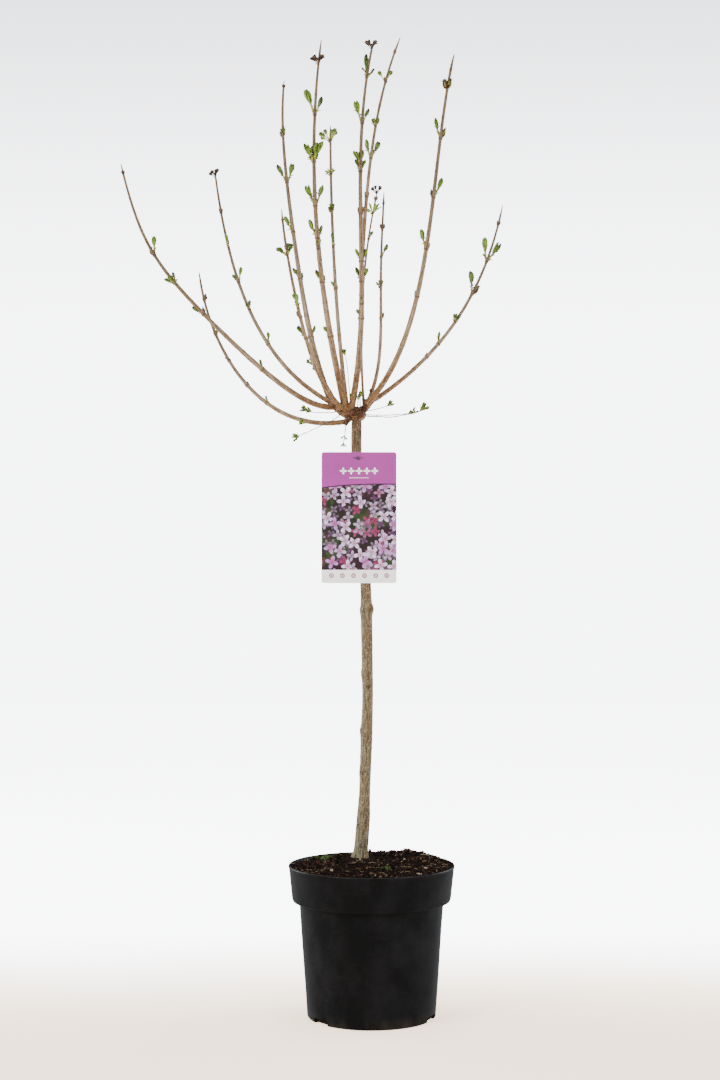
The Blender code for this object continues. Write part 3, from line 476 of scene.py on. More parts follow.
limbPlans = {
    "far_left": growth(
        (-0.053, 0.008, 0.807), (-0.128, -0.018, 0.8), (-0.259, -0.08, 0.994), (-0.281, -0.084, 0.941),
        (-0.319, -0.11, 1.108), thick=(8.0, 2.9), pairs=((0.721, 0, -9, 24), (0.494, 0, 18, -10),
        (0.251, 20, 0, 13)), tufts=((0.614, 4, 18, "leafy"), (0.97, 6, 5.0, "knob")), scars=(0.8, 0.4, 0.33)),
    "mid_left": growth(
        (-0.048, 0.012, 0.81), (-0.163, 0.02, 0.867), (-0.195, 0.027, 1.01), (-0.21, 0.03, 1.126),
        thick=(6.5, 2.9), pairs=((0.844, 0, -6, -6), (0.714, 90, 19, 13), (0.582, 0, 13, 21),
        (0.473, 60, 11, 15), (0.331, 0, 0, 16)), tufts=((0.975, 5, 11, "dry"),), scars=(0.21, 0.16)),
    "low_left": growth(
        (-0.033, 0.014, 0.788), (-0.151, 0.055, 0.769), (-0.224, 0.094, 0.895), (-0.238, 0.12, 1.001),
        thick=(7.0, 3.1), pairs=((0.875, 45, -6, -13), (0.722, 30, -6, -10), (0.6, 0, 7, 0),
        (0.466, 0, -6, -6), (0.353, 10, 0, 11)), scars=(0.985,)),
    "inner_left": growth(
        (-0.053, 0.018, 0.813), (-0.099, 0.054, 0.919), (-0.096, 0.086, 1.04), (-0.132, 0.12, 1.15),
        (-0.121, 0.14, 1.271), thick=(9.0, 3.1), pairs=((0.685, 0, 30, 29), (0.53, 10, 26, 0),
        (0.385, 0, 19, -10), (0.205, 0, 0, 17)), tufts=((0.838, 8, 9, "column"),
        (0.978, 6, 5.0, "knob")), scars=(0.27, 0.145)),
    "front_left": growth(
        (-0.04, 0.002, 0.806), (-0.086, -0.046, 0.847), (-0.089, -0.091, 0.92), (-0.108, -0.145, 0.969),
        (-0.112, -0.18, 1.039), thick=(6.5, 2.9), pairs=((0.554, 80, 25, 16), (0.506, 0, -9, 0),
        (0.4, 0, 20, 0)), tufts=((0.801, 8, 16, "round"), (0.95, 3, 3.5, "knob"))),
    "tall_left": growth(
        (-0.035, 0.006, 0.807), (-0.07, -0.041, 0.953), (-0.086, -0.096, 1.107), (-0.064, -0.13, 1.26),
        thick=(9.5, 2.7), pairs=((0.806, 0, 34, 24), (0.683, 0, 0, 28), (0.565, 0, 29, 28),
        (0.478, 0, 26, 17), (0.45, 60, 11, 12), (0.357, 0, 18, -9),
        (0.204, 10, 16, 0)), tufts=((0.938, 6, 14, "dry"), (0.684, 9, 28, "leafy")), scars=(0.86, 0.42, 0.3)),
    "back_left": growth(
        (-0.033, 0.018, 0.809), (-0.049, 0.076, 0.94), (-0.056, 0.134, 1.074), (-0.057, 0.17, 1.214),
        thick=(6.5, 3.3), pairs=((0.565, 90, 20, 13), (0.415, 0, 13, -6)), tufts=((0.945, 9, 20, "round"),
        (0.826, 11, 12, "star"), (0.698, 5, 10, "column")), scars=(0.25,)),
    "tall_mid": growth(
        (-0.027, 0.006, 0.804), (0.006, -0.048, 0.952), (-0.035, -0.11, 1.103), (0.002, -0.15, 1.255),
        thick=(9.0, 2.9), pairs=((0.785, 0, 29, 20), (0.66, 0, 16, 15), (0.548, 0, -8, -8),
        (0.418, 0, 17, 17), (0.363, 0, 19, 18), (0.302, 90, 10, 10),
        (0.26, 0, 13, 0)), tufts=((0.978, 6, 12, "dry"), (0.907, 7, 32, "spray"),
        (0.68, 4, 19, "leafy")), scars=(0.325, 0.15)),
    "back_wisp": growth(
        (-0.01, 0.018, 0.807), (-0.017, 0.057, 0.907), (-0.014, 0.096, 1.01), (0.009, 0.12, 1.113),
        thick=(3.8, 2.5), pairs=((0.96, 0, -6, -6), (0.778, 0, 0, 13)), tufts=((0.99, 5, 11.5, "dry"),
        (0.895, 9, 19, "star")), scars=(0.45,)),
    "back_right": growth(
        (-0.009, 0.018, 0.807), (0.029, 0.074, 0.877), (0.005, 0.122, 0.962), (0.016, 0.177, 1.039),
        (0.019, 0.21, 1.127), thick=(5.5, 2.9), pairs=((0.838, 0, -9, -9), (0.709, 0, 0, 22),
        (0.423, 0, 0, -10)), tufts=((0.563, 4, 13, "leafy"), (0.948, 4, 4, "knob")), scars=(0.3,)),
    "right": growth(
        (-0.006, 0.004, 0.811), (0.085, -0.037, 0.902), (0.073, -0.11, 1.116), (0.103, -0.14, 1.24),
        thick=(8.0, 3.3), pairs=((0.778, 0, 26, -15), (0.619, 0, -11, 27), (0.477, 0, 26, -9),
        (0.343, 0, -8, 0)), tufts=((0.912, 7, 14, "knot"), (0.955, 3, 3.5, "knob")), scars=(0.2,)),
    "far_right": growth(
        (0.006, 0.014, 0.818), (0.102, 0.033, 0.884), (0.154, 0.048, 0.969), (0.178, 0.06, 1.083),
        thick=(6.5, 2.7), pairs=((0.918, 0, -6, -6), (0.753, 0, 34, 32), (0.604, 0, 32, -17),
        (0.348, 0, 17, 0), (0.275, 0, -6, 0)), tufts=((0.464, 4, 13, "leafy"),), scars=(0.2, 0.12)),
    "mid_fork": growth(
        (-0.012, -0.064, 1.0), (-0.006, -0.06, 1.095), (0.001, -0.055, 1.192), (0.037, -0.05, 1.283),
        thick=(5.4, 2.7), forked=True, pairs=((0.93, 0, -4, 0), (0.79, 0, -7, 0), (0.435, 0, 25, 25),
        (0.26, 0, -7, -7)), tufts=((0.79, 2, 15, "round"), (0.58, 5, 13, "leafy")), scars=(0.68,)),
}

budLook = {
    "greenWidth": (0.225, 2.4),  # for each millimetre of length, and at least this many
    "pairLean": 26,
    "brownLean": 24,
    # three leans by turns, and the millimetres that each bud stands above the last
    "tufts": {"leafy": ((34, 18, 46), 0.6), "round": ((58, 34, 74), 0.5), "dry": ((55, 25, 70), 0.5),
              "column": ((34, 22, 42), 1.5), "knot": ((40, 18, 50), 0.8), "spray": ((7, 50, 64), 1.2),
              "star": ((64, 38, 88), 0.4), "knob": ((74, 80, 70), 0.0)},
    # how far up each leaf of a bundle reaches, how far it spreads, and how wide it is
    "bundle": ((0.82, 0.02, 1.0), (0.80, 0.04, 1.0), (0.76, 0.06, 0.95), (0.68, 0.08, 0.95),
               (0.58, 0.11, 0.9), (0.44, 0.16, 0.7)),
    "smallLeaves": 7,
    "deepShare": 0.35,
    "tuftShrink": 0.035,
    "lightPull": 0.35,
    "rootOut": 0.45,  # of the limb's radius
}

limbLook = {
    "sides": 28,
    "step": 0.0009,
    "nodeSwell": 0.05,  # of the radius
    "nodeSize": 0.0035,
    "ledge": 0.0007,
    "ledgeSize": 0.0015,
    "ringSize": 0.0011,
    "ringDark": 0.7,
    "scar": (0.4, 0.3),  # how strong an old scar's node and its ledge are
    "pores": 1500,  # for each metre of a limb 8 mm thick
    "poreSize": (0.00038, 0.00062),
    "poreHeight": 0.00014,
    "ridgeHeight": 0.00012,
    "wrinkleHeight": 0.00006,
    "wander": 0.0007,
    "darkShare": 0.8,
    "pales": (0.03, 0.11),  # how far along a limb its bark turns from orange to beige
    "spike": (0.010, 0.35),  # the length of the dry tip, and the share of the radius at its end
}

limbBark = barkFinish("limbBark", {
    "base": (0.205, 0.092, 0.034), "pale": (0.43, 0.325, 0.215), "dark": (0.050, 0.025, 0.013),
    "cloud": (0.165, 0.115, 0.052), "fleck": (0.46, 0.33, 0.21), "young": (0.078, 0.060, 0.033),
    "pore": (0.46, 0.36, 0.23), "node": (0.045, 0.014, 0.008), "fibreStretch": 0.08, "fibreScale": 900.0,
    "cloudScale": 90.0, "cloudShare": 0.7, "fleckScale": 420.0, "fleckShare": 0.3, "poreShare": 0.55,
    "nodeShare": 0.92, "rough": (0.66, 0.85), "shine": 0.2, "bump": 0.0003})


def sideAt(line, share, angle):
    # Square to the limb: the left of the front view, turned by the angle towards the front.
    heading = headingAt(line, share)
    left = square(np.array([-heading[2], 0.0, heading[0]]), heading)
    front = np.cross(heading, left)
    front = -front if front[1] > 0.0 else front
    return left * math.cos(angle) + front * math.sin(angle)


def radiusAt(plan, share):
    foot, tip = plan["thick"]
    return (tip + (foot - tip) * (1.0 - share)) * mm / 2.0


def makeLimb(name, plan, seed):
    # A limb in bark: node swellings, a ledge under each bud, ridges, wrinkles and pores.
    rng = np.random.default_rng(seed)
    look = limbLook
    line = measured(plan["curve"])
    length = line[2]
    shares = np.linspace(0.0, 1.0, int(length / look["step"]))
    along = shares * length
    angles = roundAngles(look["sides"])
    places = placeAt(line, shares)
    # the dry tip narrows to a spike
    spike, point = look["spike"]
    spent = np.interp(length - along, (0.0, spike, 1.4 * spike), (point, 0.8, 1.0))
    radii = radiusAt(plan, shares) * spent
    _, across, over = limbFrames(places)
    proud = np.zeros((len(shares), len(angles)))
    tipDark = 0.8 * np.interp(length - along, (0.5 * spike, 1.2 * spike), (1.0, 0.0))
    nodes = np.broadcast_to(tipDark[:, None], proud.shape).copy()
    # how strong the node is at each pair, old scar and tuft, and how far its ledges stand out
    stops = [(row[0], row[1], 1.0, 1.0) for row in plan["pairs"]]
    stops += [(share, 0, *look["scar"]) for share in plan["scars"]]
    stops += [(row[0], 0, 1.0, 0.0) for row in plan["tufts"]]
    for share, degrees, strong, ledged in stops:
        swell = bump(along - share * length - 0.001, look["nodeSize"])[:, None]
        proud += strong * look["nodeSwell"] * radiusAt(plan, share) * swell
        ring = bump(along - share * length, look["ringSize"])[:, None]
        nodes = np.maximum(nodes, look["ringDark"] * strong * ring)
        side = sideAt(line, share, math.radians(degrees))
        row = np.abs(shares - share).argmin()
        facing = math.atan2(side @ over[row], side @ across[row])
        for half in (0.0, math.pi):
            lobe = np.maximum(np.cos(angles - facing - half), 0.0)[None, :] ** 6
            ledge = bump(along - share * length + 0.0002, look["ledgeSize"])[:, None] * lobe * ledged
            proud += look["ledge"] * ledge
            nodes = np.maximum(nodes, ledge)
    ridges = ripples(along, angles, rng, 10, look["ridgeHeight"], (2, 6), 0.030)
    wrinkles = ripples(along, angles, rng, 14, look["wrinkleHeight"], (4, 12), 0.006)
    count = int(look["pores"] * length * plan["thick"][0] / 8.0)
    pores = dots(along, angles, radii, rng, count, look["poreSize"])
    # the bark is smoother and darker where it is young
    young = np.clip((shares - 0.15) / 0.55, 0.0, 1.0)[:, None]
    thin = radii[:, None] / 0.004
    proud += (ridges + wrinkles) * thin.clip(0.3, 1.0) + look["poreHeight"] * pores * (1.0 - 0.7 * young)
    wobble = ripples(along, angles[:1], rng, 6, look["wander"], (1, 1), 0.09)[:, 0]
    fade = np.minimum(shares, 1.0 - shares).clip(0.0, 0.1)[:, None] * 10.0
    places = places + across * wobble[:, None] * fade
    points, ends = barkSkin(places, radii, angles, proud)
    pale = np.interp(along, look["pales"], (0.0, 1.0))[:, None]
    marks = {"barkPlace": withPoles(straightened(along, angles, radii.mean())),
             "poreMark": withPoles(pores * (1.0 - 0.85 * young)), "nodeMark": withPoles(nodes),
             "ageMark": withPoles(np.broadcast_to(young * look["darkShare"], proud.shape)),
             "paleMark": withPoles(np.broadcast_to(pale, proud.shape))}
    keep(putMesh(f"limb_{name}", *skins(points[None], ends[None]), [limbBark], marks=marks), "young_bark",
         *(node for node in (f"bough_{name}", f"shoot_{name}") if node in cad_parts))


for seed, (name, plan) in enumerate(limbPlans.items()):
    makeLimb(name, plan, 100 + seed)
print("limbs made")


# Leaves: every leaf, scale and stalk is one closed skin of a few faces

leafPalettes = {
    # stalk, blade and tip of each spray
    "fresh": ("stalkGreen", "freshGreen", "tipGreen"),
    "deep": ("stalkGreen", "deepGreen", "duskTip"),
    "bronze": ("stalkBrown", "oliveGreen", "duskTip"),
    "scale": ("barkBrown", "barkBrown", "duskTip"),
    "dry": ("dryBrown", "dryBrown", "dryTan"),
    "stalk": ("stalkBrown", "stalkGreen", "freshGreen"),
}

leafColours = {
    "stalkGreen": (0.29, 0.33, 0.042),
    "freshGreen": (0.160, 0.260, 0.025),
    "tipGreen": (0.105, 0.180, 0.020),
    "deepGreen": (0.095, 0.155, 0.018),
    "duskTip": (0.036, 0.052, 0.014),
    "oliveGreen": (0.10, 0.105, 0.020),
    "stalkBrown": (0.19, 0.17, 0.032),
    "barkBrown": (0.070, 0.022, 0.010),
    "dryBrown": (0.045, 0.024, 0.012),
    "dryTan": (0.10, 0.060, 0.028),
}

leafRows = np.array([0.04, 0.18, 0.34, 0.50, 0.66, 0.80, 0.91, 0.98])
leafAcross = np.array([-1.0, -0.5, 0.0, 0.5, 1.0, 0.5, 0.0, -0.5])
leafFace = np.array([0.0, 1.0, 1.0, 1.0, 0.0, -1.0, -1.0, -1.0])

outlines = {
    # where the blade starts, the two powers of its outline, and the stalk's share of its width
    "blade": (0.12, 1.1, 0.75, 0.25),
    "spoon": (0.16, 1.15, 0.72, 0.26),
    "round": (0.06, 0.80, 0.55, 0.30),
    "scale": (0.0, 0.55, 0.95, 0.35),
    "stalk": (0.0, 0.25, 0.25, 0.90),
}

leaves = []


def addLeaf(root, ahead, face, length, halfWidth, outline, palette, cup=0.7, bend=0.0, thick=0.3 * mm):
    # face is the side that its edges fold towards; bend turns the tip that way, in radians.
    leaves.append((root, ahead, square(face, ahead), length, halfWidth, outlines[outline], palette,
                   cup, bend, thick))


def leafSkins(rows):
    # Along a leaf the width is a rise v^a (1 - v)^b past the stalk. Across it the skin folds like a
    # gutter, and its midrib bends on a circle: z = L sin(bend v) / bend, y = L (1 - cos(bend v)) / bend.
    roots, aheads, faces = (np.array([row[column] for row in rows]) for column in range(3))
    length, half, cup, bend, thick = (np.array([row[column] for row in rows])[:, None]
                                      for column in (3, 4, 7, 8, 9))
    start, rise, fall, stalk = np.array([row[5] for row in rows]).T[..., None]
    along = ((leafRows[None] - start) / (1.0 - start)).clip(0.0, 1.0)
    peak = (rise / (rise + fall)) ** rise * (fall / (rise + fall)) ** fall
    width = half * np.maximum(along**rise * (1.0 - along) ** fall / peak, stalk * (1.0 - leafRows[None] ** 6))
    bend = np.where(np.abs(bend) < 0.01, 0.01, bend)

    def midrib(share):
        return length * np.sin(bend * share) / bend, length * (1.0 - np.cos(bend * share)) / bend

    ahead, lift = midrib(leafRows[None])
    fold = cup[..., None] * np.abs(leafAcross)
    x = width[..., None] * leafAcross * np.cos(fold * 0.9)
    gutter = width[..., None] * np.abs(leafAcross) * np.sin(fold)
    thin = thick * np.minimum(1.0, 1.6 * (1.0 - leafRows[None]) + 0.3)
    y = lift[..., None] + gutter + thin[..., None] * leafFace / 2.0
    sides = np.cross(faces, aheads)
    grids = (roots[:, None, None] + sides[:, None, None] * x[..., None] + faces[:, None, None] * y[..., None]
             + aheads[:, None, None] * ahead[..., None, None])
    far, high = midrib(np.ones((1, 1)))
    tips = roots + aheads * far + faces * high
    return skins(grids, np.stack([roots, tips], axis=1))


def makeLeaves(name, palettes, slot, nodes=()):
    # All the leaves of these palettes as one piece; a leaf's stalk, blade and tip each have a plain finish.
    rows = [row for row in leaves if row[6] in palettes]
    names = sorted({colour for palette in palettes for colour in leafPalettes[palette]})
    points, quads, triangles = leafSkins(rows)
    order = np.array([[names.index(colour) for colour in leafPalettes[row[6]]] for row in rows])
    bands = np.array([0, 0, 1, 1, 1, 2, 2])
    ofQuads = np.repeat(order[:, bands], 8, axis=1).ravel()
    ofPoles = np.repeat(order[:, [0, 2]], 8, axis=1).ravel()
    piece = putMesh(name, points, quads, triangles, [leafFinishes[colour] for colour in names],
                    finishOf=np.concatenate([ofQuads, ofPoles]))
    keep(piece, slot, *nodes)
    print(f"{name}: {len(rows)} leaves")


leafFinishes = {name: leafFinish(name, colour) for name, colour in leafColours.items()}


def leaning(ahead, face, angle, tilt):
    # A direction tilted from ahead towards a side, and that side: face turned by the angle round ahead.
    out = face * math.cos(angle) + np.cross(ahead, face) * math.sin(angle)
    return unit(ahead * math.cos(tilt) + out * math.sin(tilt)), out


def leafyBud(root, ahead, face, length, width, palette, rng, small=True):
    # An opening bud: a bare stalk, a closed bundle of leaves with blunt dark tips over its upper two
    # thirds, and small leaves with dark tips that spread lower down.
    first = rng.uniform(0.0, turn)
    addLeaf(root, ahead, face, length * 0.5, 0.55 * mm + 0.025 * length, "stalk", "stalk", cup=0.0,
            thick=1.1 * mm + 0.050 * length)
    foot = root + ahead * length * 0.20
    for number, (reach, spread, wide) in enumerate(budLook["bundle"]):
        tilt = spread * rng.uniform(0.6, 1.3)
        way, out = leaning(ahead, face, first + number * goldenAngle, tilt)
        addLeaf(foot + out * (0.25 * mm + 0.010 * length), way, -out, length * reach * rng.uniform(0.95, 1.0),
                width * wide * 0.44, "spoon", palette, cup=rng.uniform(0.8, 1.15),
                bend=rng.uniform(0.05, 0.30), thick=0.25 * mm + 0.014 * length)
    for number in range(budLook["smallLeaves"] if small else 0):
        way, out = leaning(ahead, face, first + number * goldenAngle, rng.uniform(0.30, 0.9))
        place = root + ahead * length * rng.uniform(0.04, 0.50)
        addLeaf(place, way, -out, length * rng.uniform(0.12, 0.22) + 1.8 * mm, 0.5 * mm + 0.03 * length,
                "blade", "bronze", cup=0.8, bend=rng.uniform(-0.9, 0.4))


def baseScales(root, ahead, face, radius, rng, count=4):
    # The old brown scales round a bud's foot.
    for number in range(count):
        way, out = leaning(ahead, face, number * turn / count + 0.4, rng.uniform(0.35, 0.75))
        addLeaf(root + ahead * 0.4 * mm, way, -out, radius * 0.6 + rng.uniform(1.6, 2.4) * mm, 0.95 * mm,
                "scale", "scale", cup=0.7, bend=0.5)


def closedBud(root, ahead, face, length, width, palette, rng):
    # A closed bud: pairs of broad scales whose tips meet over it.
    for pair, (share, wide) in enumerate(((0.55, 0.85), (0.8, 1.0), (1.0, 0.8))):
        for side in (0.0, math.pi):
            tilt = 0.42 - 0.10 * pair
            way, out = leaning(ahead, face, pair * math.pi / 2 + side, tilt)
            shade = "scale" if pair == 0 or rng.random() < 0.35 else palette
            addLeaf(root, way, -out, length * share, width * wide * 0.55, "scale", shade, cup=0.85,
                    bend=2.0 * tilt + 0.1)


def roundHead(root, ahead, face, length, palette, rng):
    # A round head on a bare stalk: broad cupped leaves that wrap a ball.
    addLeaf(root, ahead, face, length * 0.72, 0.55 * mm + 0.015 * length, "stalk", "stalk", cup=0.0,
            thick=1.3 * mm)
    size = 0.34 * length + 3.4 * mm
    middle = root + ahead * (length - size * 0.86)
    for pair, share in enumerate((1.0, 0.95, 0.85)):
        for side in (0.0, math.pi):
            tilt = 0.72 - 0.12 * pair
            way, out = leaning(ahead, face, pair * math.pi / 3 + side + rng.uniform(-0.2, 0.2), tilt)
            addLeaf(middle, way, -out, size * share, size * 0.42, "round", palette, cup=0.9,
                    bend=1.7 * tilt)


def dryBit(root, ahead, face, length, rng):
    # What is left of a withered flower head: a stub with a few lumpy capsules.
    addLeaf(root, ahead, face, length * 0.75, 0.55 * mm, "stalk", "dry", cup=0.0, thick=1.0 * mm)
    middle = root + ahead * length * 0.42
    for number in range(4):
        way, out = leaning(ahead, face, number * goldenAngle + rng.uniform(0.0, 0.6), rng.uniform(0.15, 0.9))
        addLeaf(middle, way, -out, 2.4 * mm + length * rng.uniform(0.3, 0.5), 0.9 * mm + length * 0.17,
                "round", "dry", cup=0.9, bend=rng.uniform(0.2, 1.6))


def budPlace(line, plan, share, side, lean):
    # Root, heading and face of a bud that leans out from the limb's skin and turns up to the light.
    heading = headingAt(line, share)
    lean = math.radians(lean)
    ahead = unit(heading * math.cos(lean) + side * math.sin(lean)
                 + np.array([0.0, 0.0, budLook["lightPull"]]))
    radius = radiusAt(plan, share)
    root = placeAt(line, share) + side * radius * budLook["rootOut"]
    return root, ahead, square(heading, ahead), radius


def pickGreen(rng):
    return "deep" if rng.random() < budLook["deepShare"] else "fresh"


def dressPair(line, plan, share, side, size, rng):
    # One bud of a pair: green and opening, or brown and closed where its size is below 0.
    lean = budLook["brownLean"] if size < 0 else budLook["pairLean"]
    root, ahead, face, radius = budPlace(line, plan, share, side, lean)
    length = abs(size) * mm
    if size < 0:
        closedBud(root, ahead, face, length, abs(size) * 0.40 * mm + 1.3 * mm, "bronze", rng)
        return
    widthShare, widthStart = budLook["greenWidth"]
    leafyBud(root, ahead, face, length, size * widthShare * mm + widthStart * mm, pickGreen(rng), rng,
             small=size > 10)
    baseScales(root, ahead, face, radius, rng)


def dressTuft(kind, number, root, ahead, face, length, radius, rng):
    # One bud of a tuft. A spray has one long bundle with small leaves round it, a star has single
    # leaves, and a column has short scaly buds one above another.
    if kind == "dry":
        dryBit(root, ahead, face, length, rng)
        return
    if kind == "knob":
        addLeaf(root - ahead * 0.6 * mm, ahead, face, length, 0.55 * length, "round", "dry", cup=0.6,
                bend=0.9, thick=1.2 * mm)
        return
    palette = pickGreen(rng)
    if kind == "star":
        addLeaf(root, ahead, face, length, length * 0.12 + 0.5 * mm, "blade", palette, cup=0.8,
                bend=rng.uniform(-0.5, 0.3))
        baseScales(root, ahead, face, radius, rng, count=2)
        return
    baseScales(root, ahead, face, radius, rng, count=3)
    if kind == "round":
        roundHead(root, ahead, face, length, "deep", rng)
    elif kind == "column":
        closedBud(root, ahead, face, length * 0.8, length * 0.5, "bronze", rng)
        leafyBud(root, ahead, face, length, length * 0.40 + 1.2 * mm, palette, rng, small=number % 2 == 0)
    elif kind == "knot":
        closedBud(root, ahead, face, length, length * 0.5, "bronze", rng)
    elif kind == "spray" and number > 0:
        leafyBud(root, ahead, face, length * 0.45, length * 0.10 + 1.0 * mm, "bronze", rng, small=False)
    else:
        leafyBud(root, ahead, face, length, length * 0.20 + 1.6 * mm, palette, rng, small=length > 0.008)


def dressLimb(plan, rng):
    line = measured(plan["curve"])
    for share, degrees, leftSize, rightSize in plan["pairs"]:
        side = sideAt(line, share, math.radians(degrees))
        for size, out in ((leftSize, side), (rightSize, -side)):
            if size:
                dressPair(line, plan, share, out, size, rng)
    for share, count, size, kind in plan["tufts"]:
        leans, climb = budLook["tufts"][kind]
        for number in range(count):
            side = sideAt(line, share, number * goldenAngle)
            up = climb * (number - 0.5 * count) * mm / line[2]
            root, ahead, face, radius = budPlace(line, plan, min(share + up, 0.995), side, leans[number % 3])
            length = size * (1.0 - budLook["tuftShrink"] * number) * mm
            dressTuft(kind, number, root, ahead, face, length, radius, rng)


budRng = np.random.default_rng(23)
for plan in limbPlans.values():
    dressLimb(plan, budRng)


# The thin twigs round the graft

twigPlans = {
    "wisp_low": growth(
        (-0.04, 0.006, 0.798), (-0.053, -0.012, 0.785), (-0.071, -0.03, 0.777), (-0.1, -0.05, 0.763),
        tufts=((0.945, 7, 10, "leafy"),)),
    "wisp_under": growth(
        (-0.064, -0.0213, 0.7809), (-0.072, -0.022, 0.7815), (-0.08, -0.023, 0.7825),
        (-0.0905, -0.024, 0.784), thick=(1.0, 0.9), tufts=((0.93, 5, 9, "leafy"),)),
    "wisp_left": growth(
        (-0.043, 0.006, 0.802), (-0.056, -0.012, 0.797), (-0.073, -0.02, 0.797), (-0.088, -0.03, 0.801),
        tufts=((0.945, 6, 10, "leafy"), (0.83, 4, 9, "leafy"))),
    "wisp_hanging": growth(
        (-0.033, 0.008, 0.794), (-0.034, -0.004, 0.782), (-0.035, -0.006, 0.77), (-0.038, -0.006, 0.755),
        pairs=((0.7, 0, 6, 6),), tufts=((0.95, 4, 6, "leafy"),)),
    "wisp_back": growth(
        (-0.014, 0.018, 0.799), (-0.002, 0.036, 0.805), (0.012, 0.045, 0.807), (0.026, 0.05, 0.812),
        tufts=((0.945, 6, 10, "leafy"),)),
    "wisp_right": growth(
        (-0.012, 0.012, 0.796), (0.02, 0.032, 0.793), (0.045, 0.036, 0.795), (0.072, 0.04, 0.806),
        thick=(1.4, 1.0), tufts=((0.945, 7, 14, "leafy"), (0.8, 3, 10, "leafy"))),
    "wisp_front": growth(
        (-0.012, 0.006, 0.797), (0.012, -0.01, 0.793), (0.03, -0.014, 0.795), (0.053, -0.018, 0.797),
        tufts=((0.955, 4, 6, "leafy"),)),
    "wisp_upright": growth(
        (-0.018, 0.006, 0.8), (-0.019, 0.002, 0.806), (-0.018, -0.001, 0.812), (-0.017, -0.003, 0.818),
        tufts=((0.9, 3, 9, "leafy"),)),
    "wisp_inner": growth(
        (-0.041, 0.014, 0.801), (-0.05, 0.03, 0.826), (-0.064, 0.048, 0.85), (-0.083, 0.06, 0.871),
        tufts=((0.955, 5, 11, "leafy"), (0.8, 4, 11, "leafy"))),
    "wisp_tall": growth(
        (-0.026, 0.01, 0.8), (-0.03, -0.004, 0.83), (-0.031, -0.012, 0.858), (-0.036, -0.02, 0.879),
        tufts=((0.94, 4, 9, "leafy"),)),
    # short dark twiglets on top of the burl, and the green side shoot of the tall left limb
    "twiglet_left": growth(
        (-0.0215, 0.004, 0.8), (-0.021, 0.001, 0.808), (-0.0235, -0.001, 0.814), (-0.0255, -0.002, 0.82),
        thick=(1.3, 0.9), tufts=((0.9, 4, 8, "leafy"),)),
    "twiglet_right": growth(
        (-0.0155, 0.004, 0.8), (-0.015, 0.001, 0.808), (-0.016, 0.0, 0.815), (-0.0135, 0.0, 0.823),
        thick=(1.3, 0.9), tufts=((0.9, 4, 8, "leafy"),)),
    "side_shoot": growth(
        (-0.0705, -0.0625, 1.058), (-0.0755, -0.065, 1.072), (-0.0762, -0.068, 1.092),
        (-0.0745, -0.071, 1.117), thick=(2.4, 1.9), tufts=((0.97, 4, 14, "leafy"),)),
}

twigLook = {
    "sides": 10,
    "step": 0.0012,
    "radius": 0.0008,
    "wander": 0.0006,
    "ridgeHeight": 0.00005,
    "knuckles": (0.00016, 0.0009, 0.009, 0.013),  # height, size, place of the first, pitch
}

twigBark = barkFinish("twigBark", {
    "base": (0.095, 0.070, 0.040), "dark": (0.045, 0.030, 0.017), "cloud": (0.070, 0.075, 0.028),
    "fleck": (0.14, 0.12, 0.085), "young": (0.065, 0.070, 0.022), "pore": (0.20, 0.16, 0.10),
    "node": (0.040, 0.018, 0.009), "fibreStretch": 0.2, "fibreScale": 1600.0, "cloudScale": 220.0,
    "cloudShare": 0.6, "fleckScale": 800.0, "fleckShare": 0.5, "poreShare": 0.6,
    "nodeShare": 0.92, "rough": (0.66, 0.85), "shine": 0.2, "bump": 0.0002})


def makeTwigs():
    # Each twig is a thin skin with small knuckles along it; all of them are one piece.
    rng = np.random.default_rng(5)
    look = twigLook
    height, size, first, pitch = look["knuckles"]
    angles = roundAngles(look["sides"])
    parts, marks = [], {"barkPlace": [], "nodeMark": []}
    for plan in twigPlans.values():
        line = measured(plan["curve"])
        shares = np.linspace(0.0, 1.0, int(line[2] / look["step"]))
        along = shares * line[2]
        proud = ripples(along, angles, rng, 6, look["ridgeHeight"], (1, 4), 0.006)
        knuckles = sum(bump(along - place, size) for place in np.arange(first, line[2], pitch))[:, None]
        proud += height * knuckles
        places = placeAt(line, shares)
        fade = np.minimum(shares, 1.0 - shares).clip(0.0, 0.2)[:, None] * 5.0
        for side in limbFrames(places)[1:]:
            places = places + side * ripples(along, angles[:1], rng, 5, look["wander"], (1, 1), 0.03) * fade
        points, ends = barkSkin(places, radiusAt(plan, shares), angles, proud)
        parts.append(skins(points[None], ends[None]))
        marks["barkPlace"].append(withPoles(straightened(along, angles, look["radius"])))
        marks["nodeMark"].append(withPoles(np.broadcast_to(knuckles, proud.shape)))
        dressLimb(plan, rng)
    joined = {label: np.concatenate(values) for label, values in marks.items()}
    keep(putMesh("twigs", *joinedSkins(parts), [twigBark], marks=joined), "leafy_shoot",
         *(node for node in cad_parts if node.startswith("wisp_")))


makeTwigs()
shoots = [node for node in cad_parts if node.startswith(("shoot_", "wisp_"))]
makeLeaves("green_leaves", ("fresh", "deep"), "leafy_shoot", shoots)
makeLeaves("bronze_leaves", ("bronze", "stalk"), "leafy_shoot", shoots)
makeLeaves("bud_scales", ("scale", "dry"), "leafy_shoot", shoots)
print("leaves made")


# The graft: a burl, the arms that the limbs rise from, and the knobs where shoots were cut off

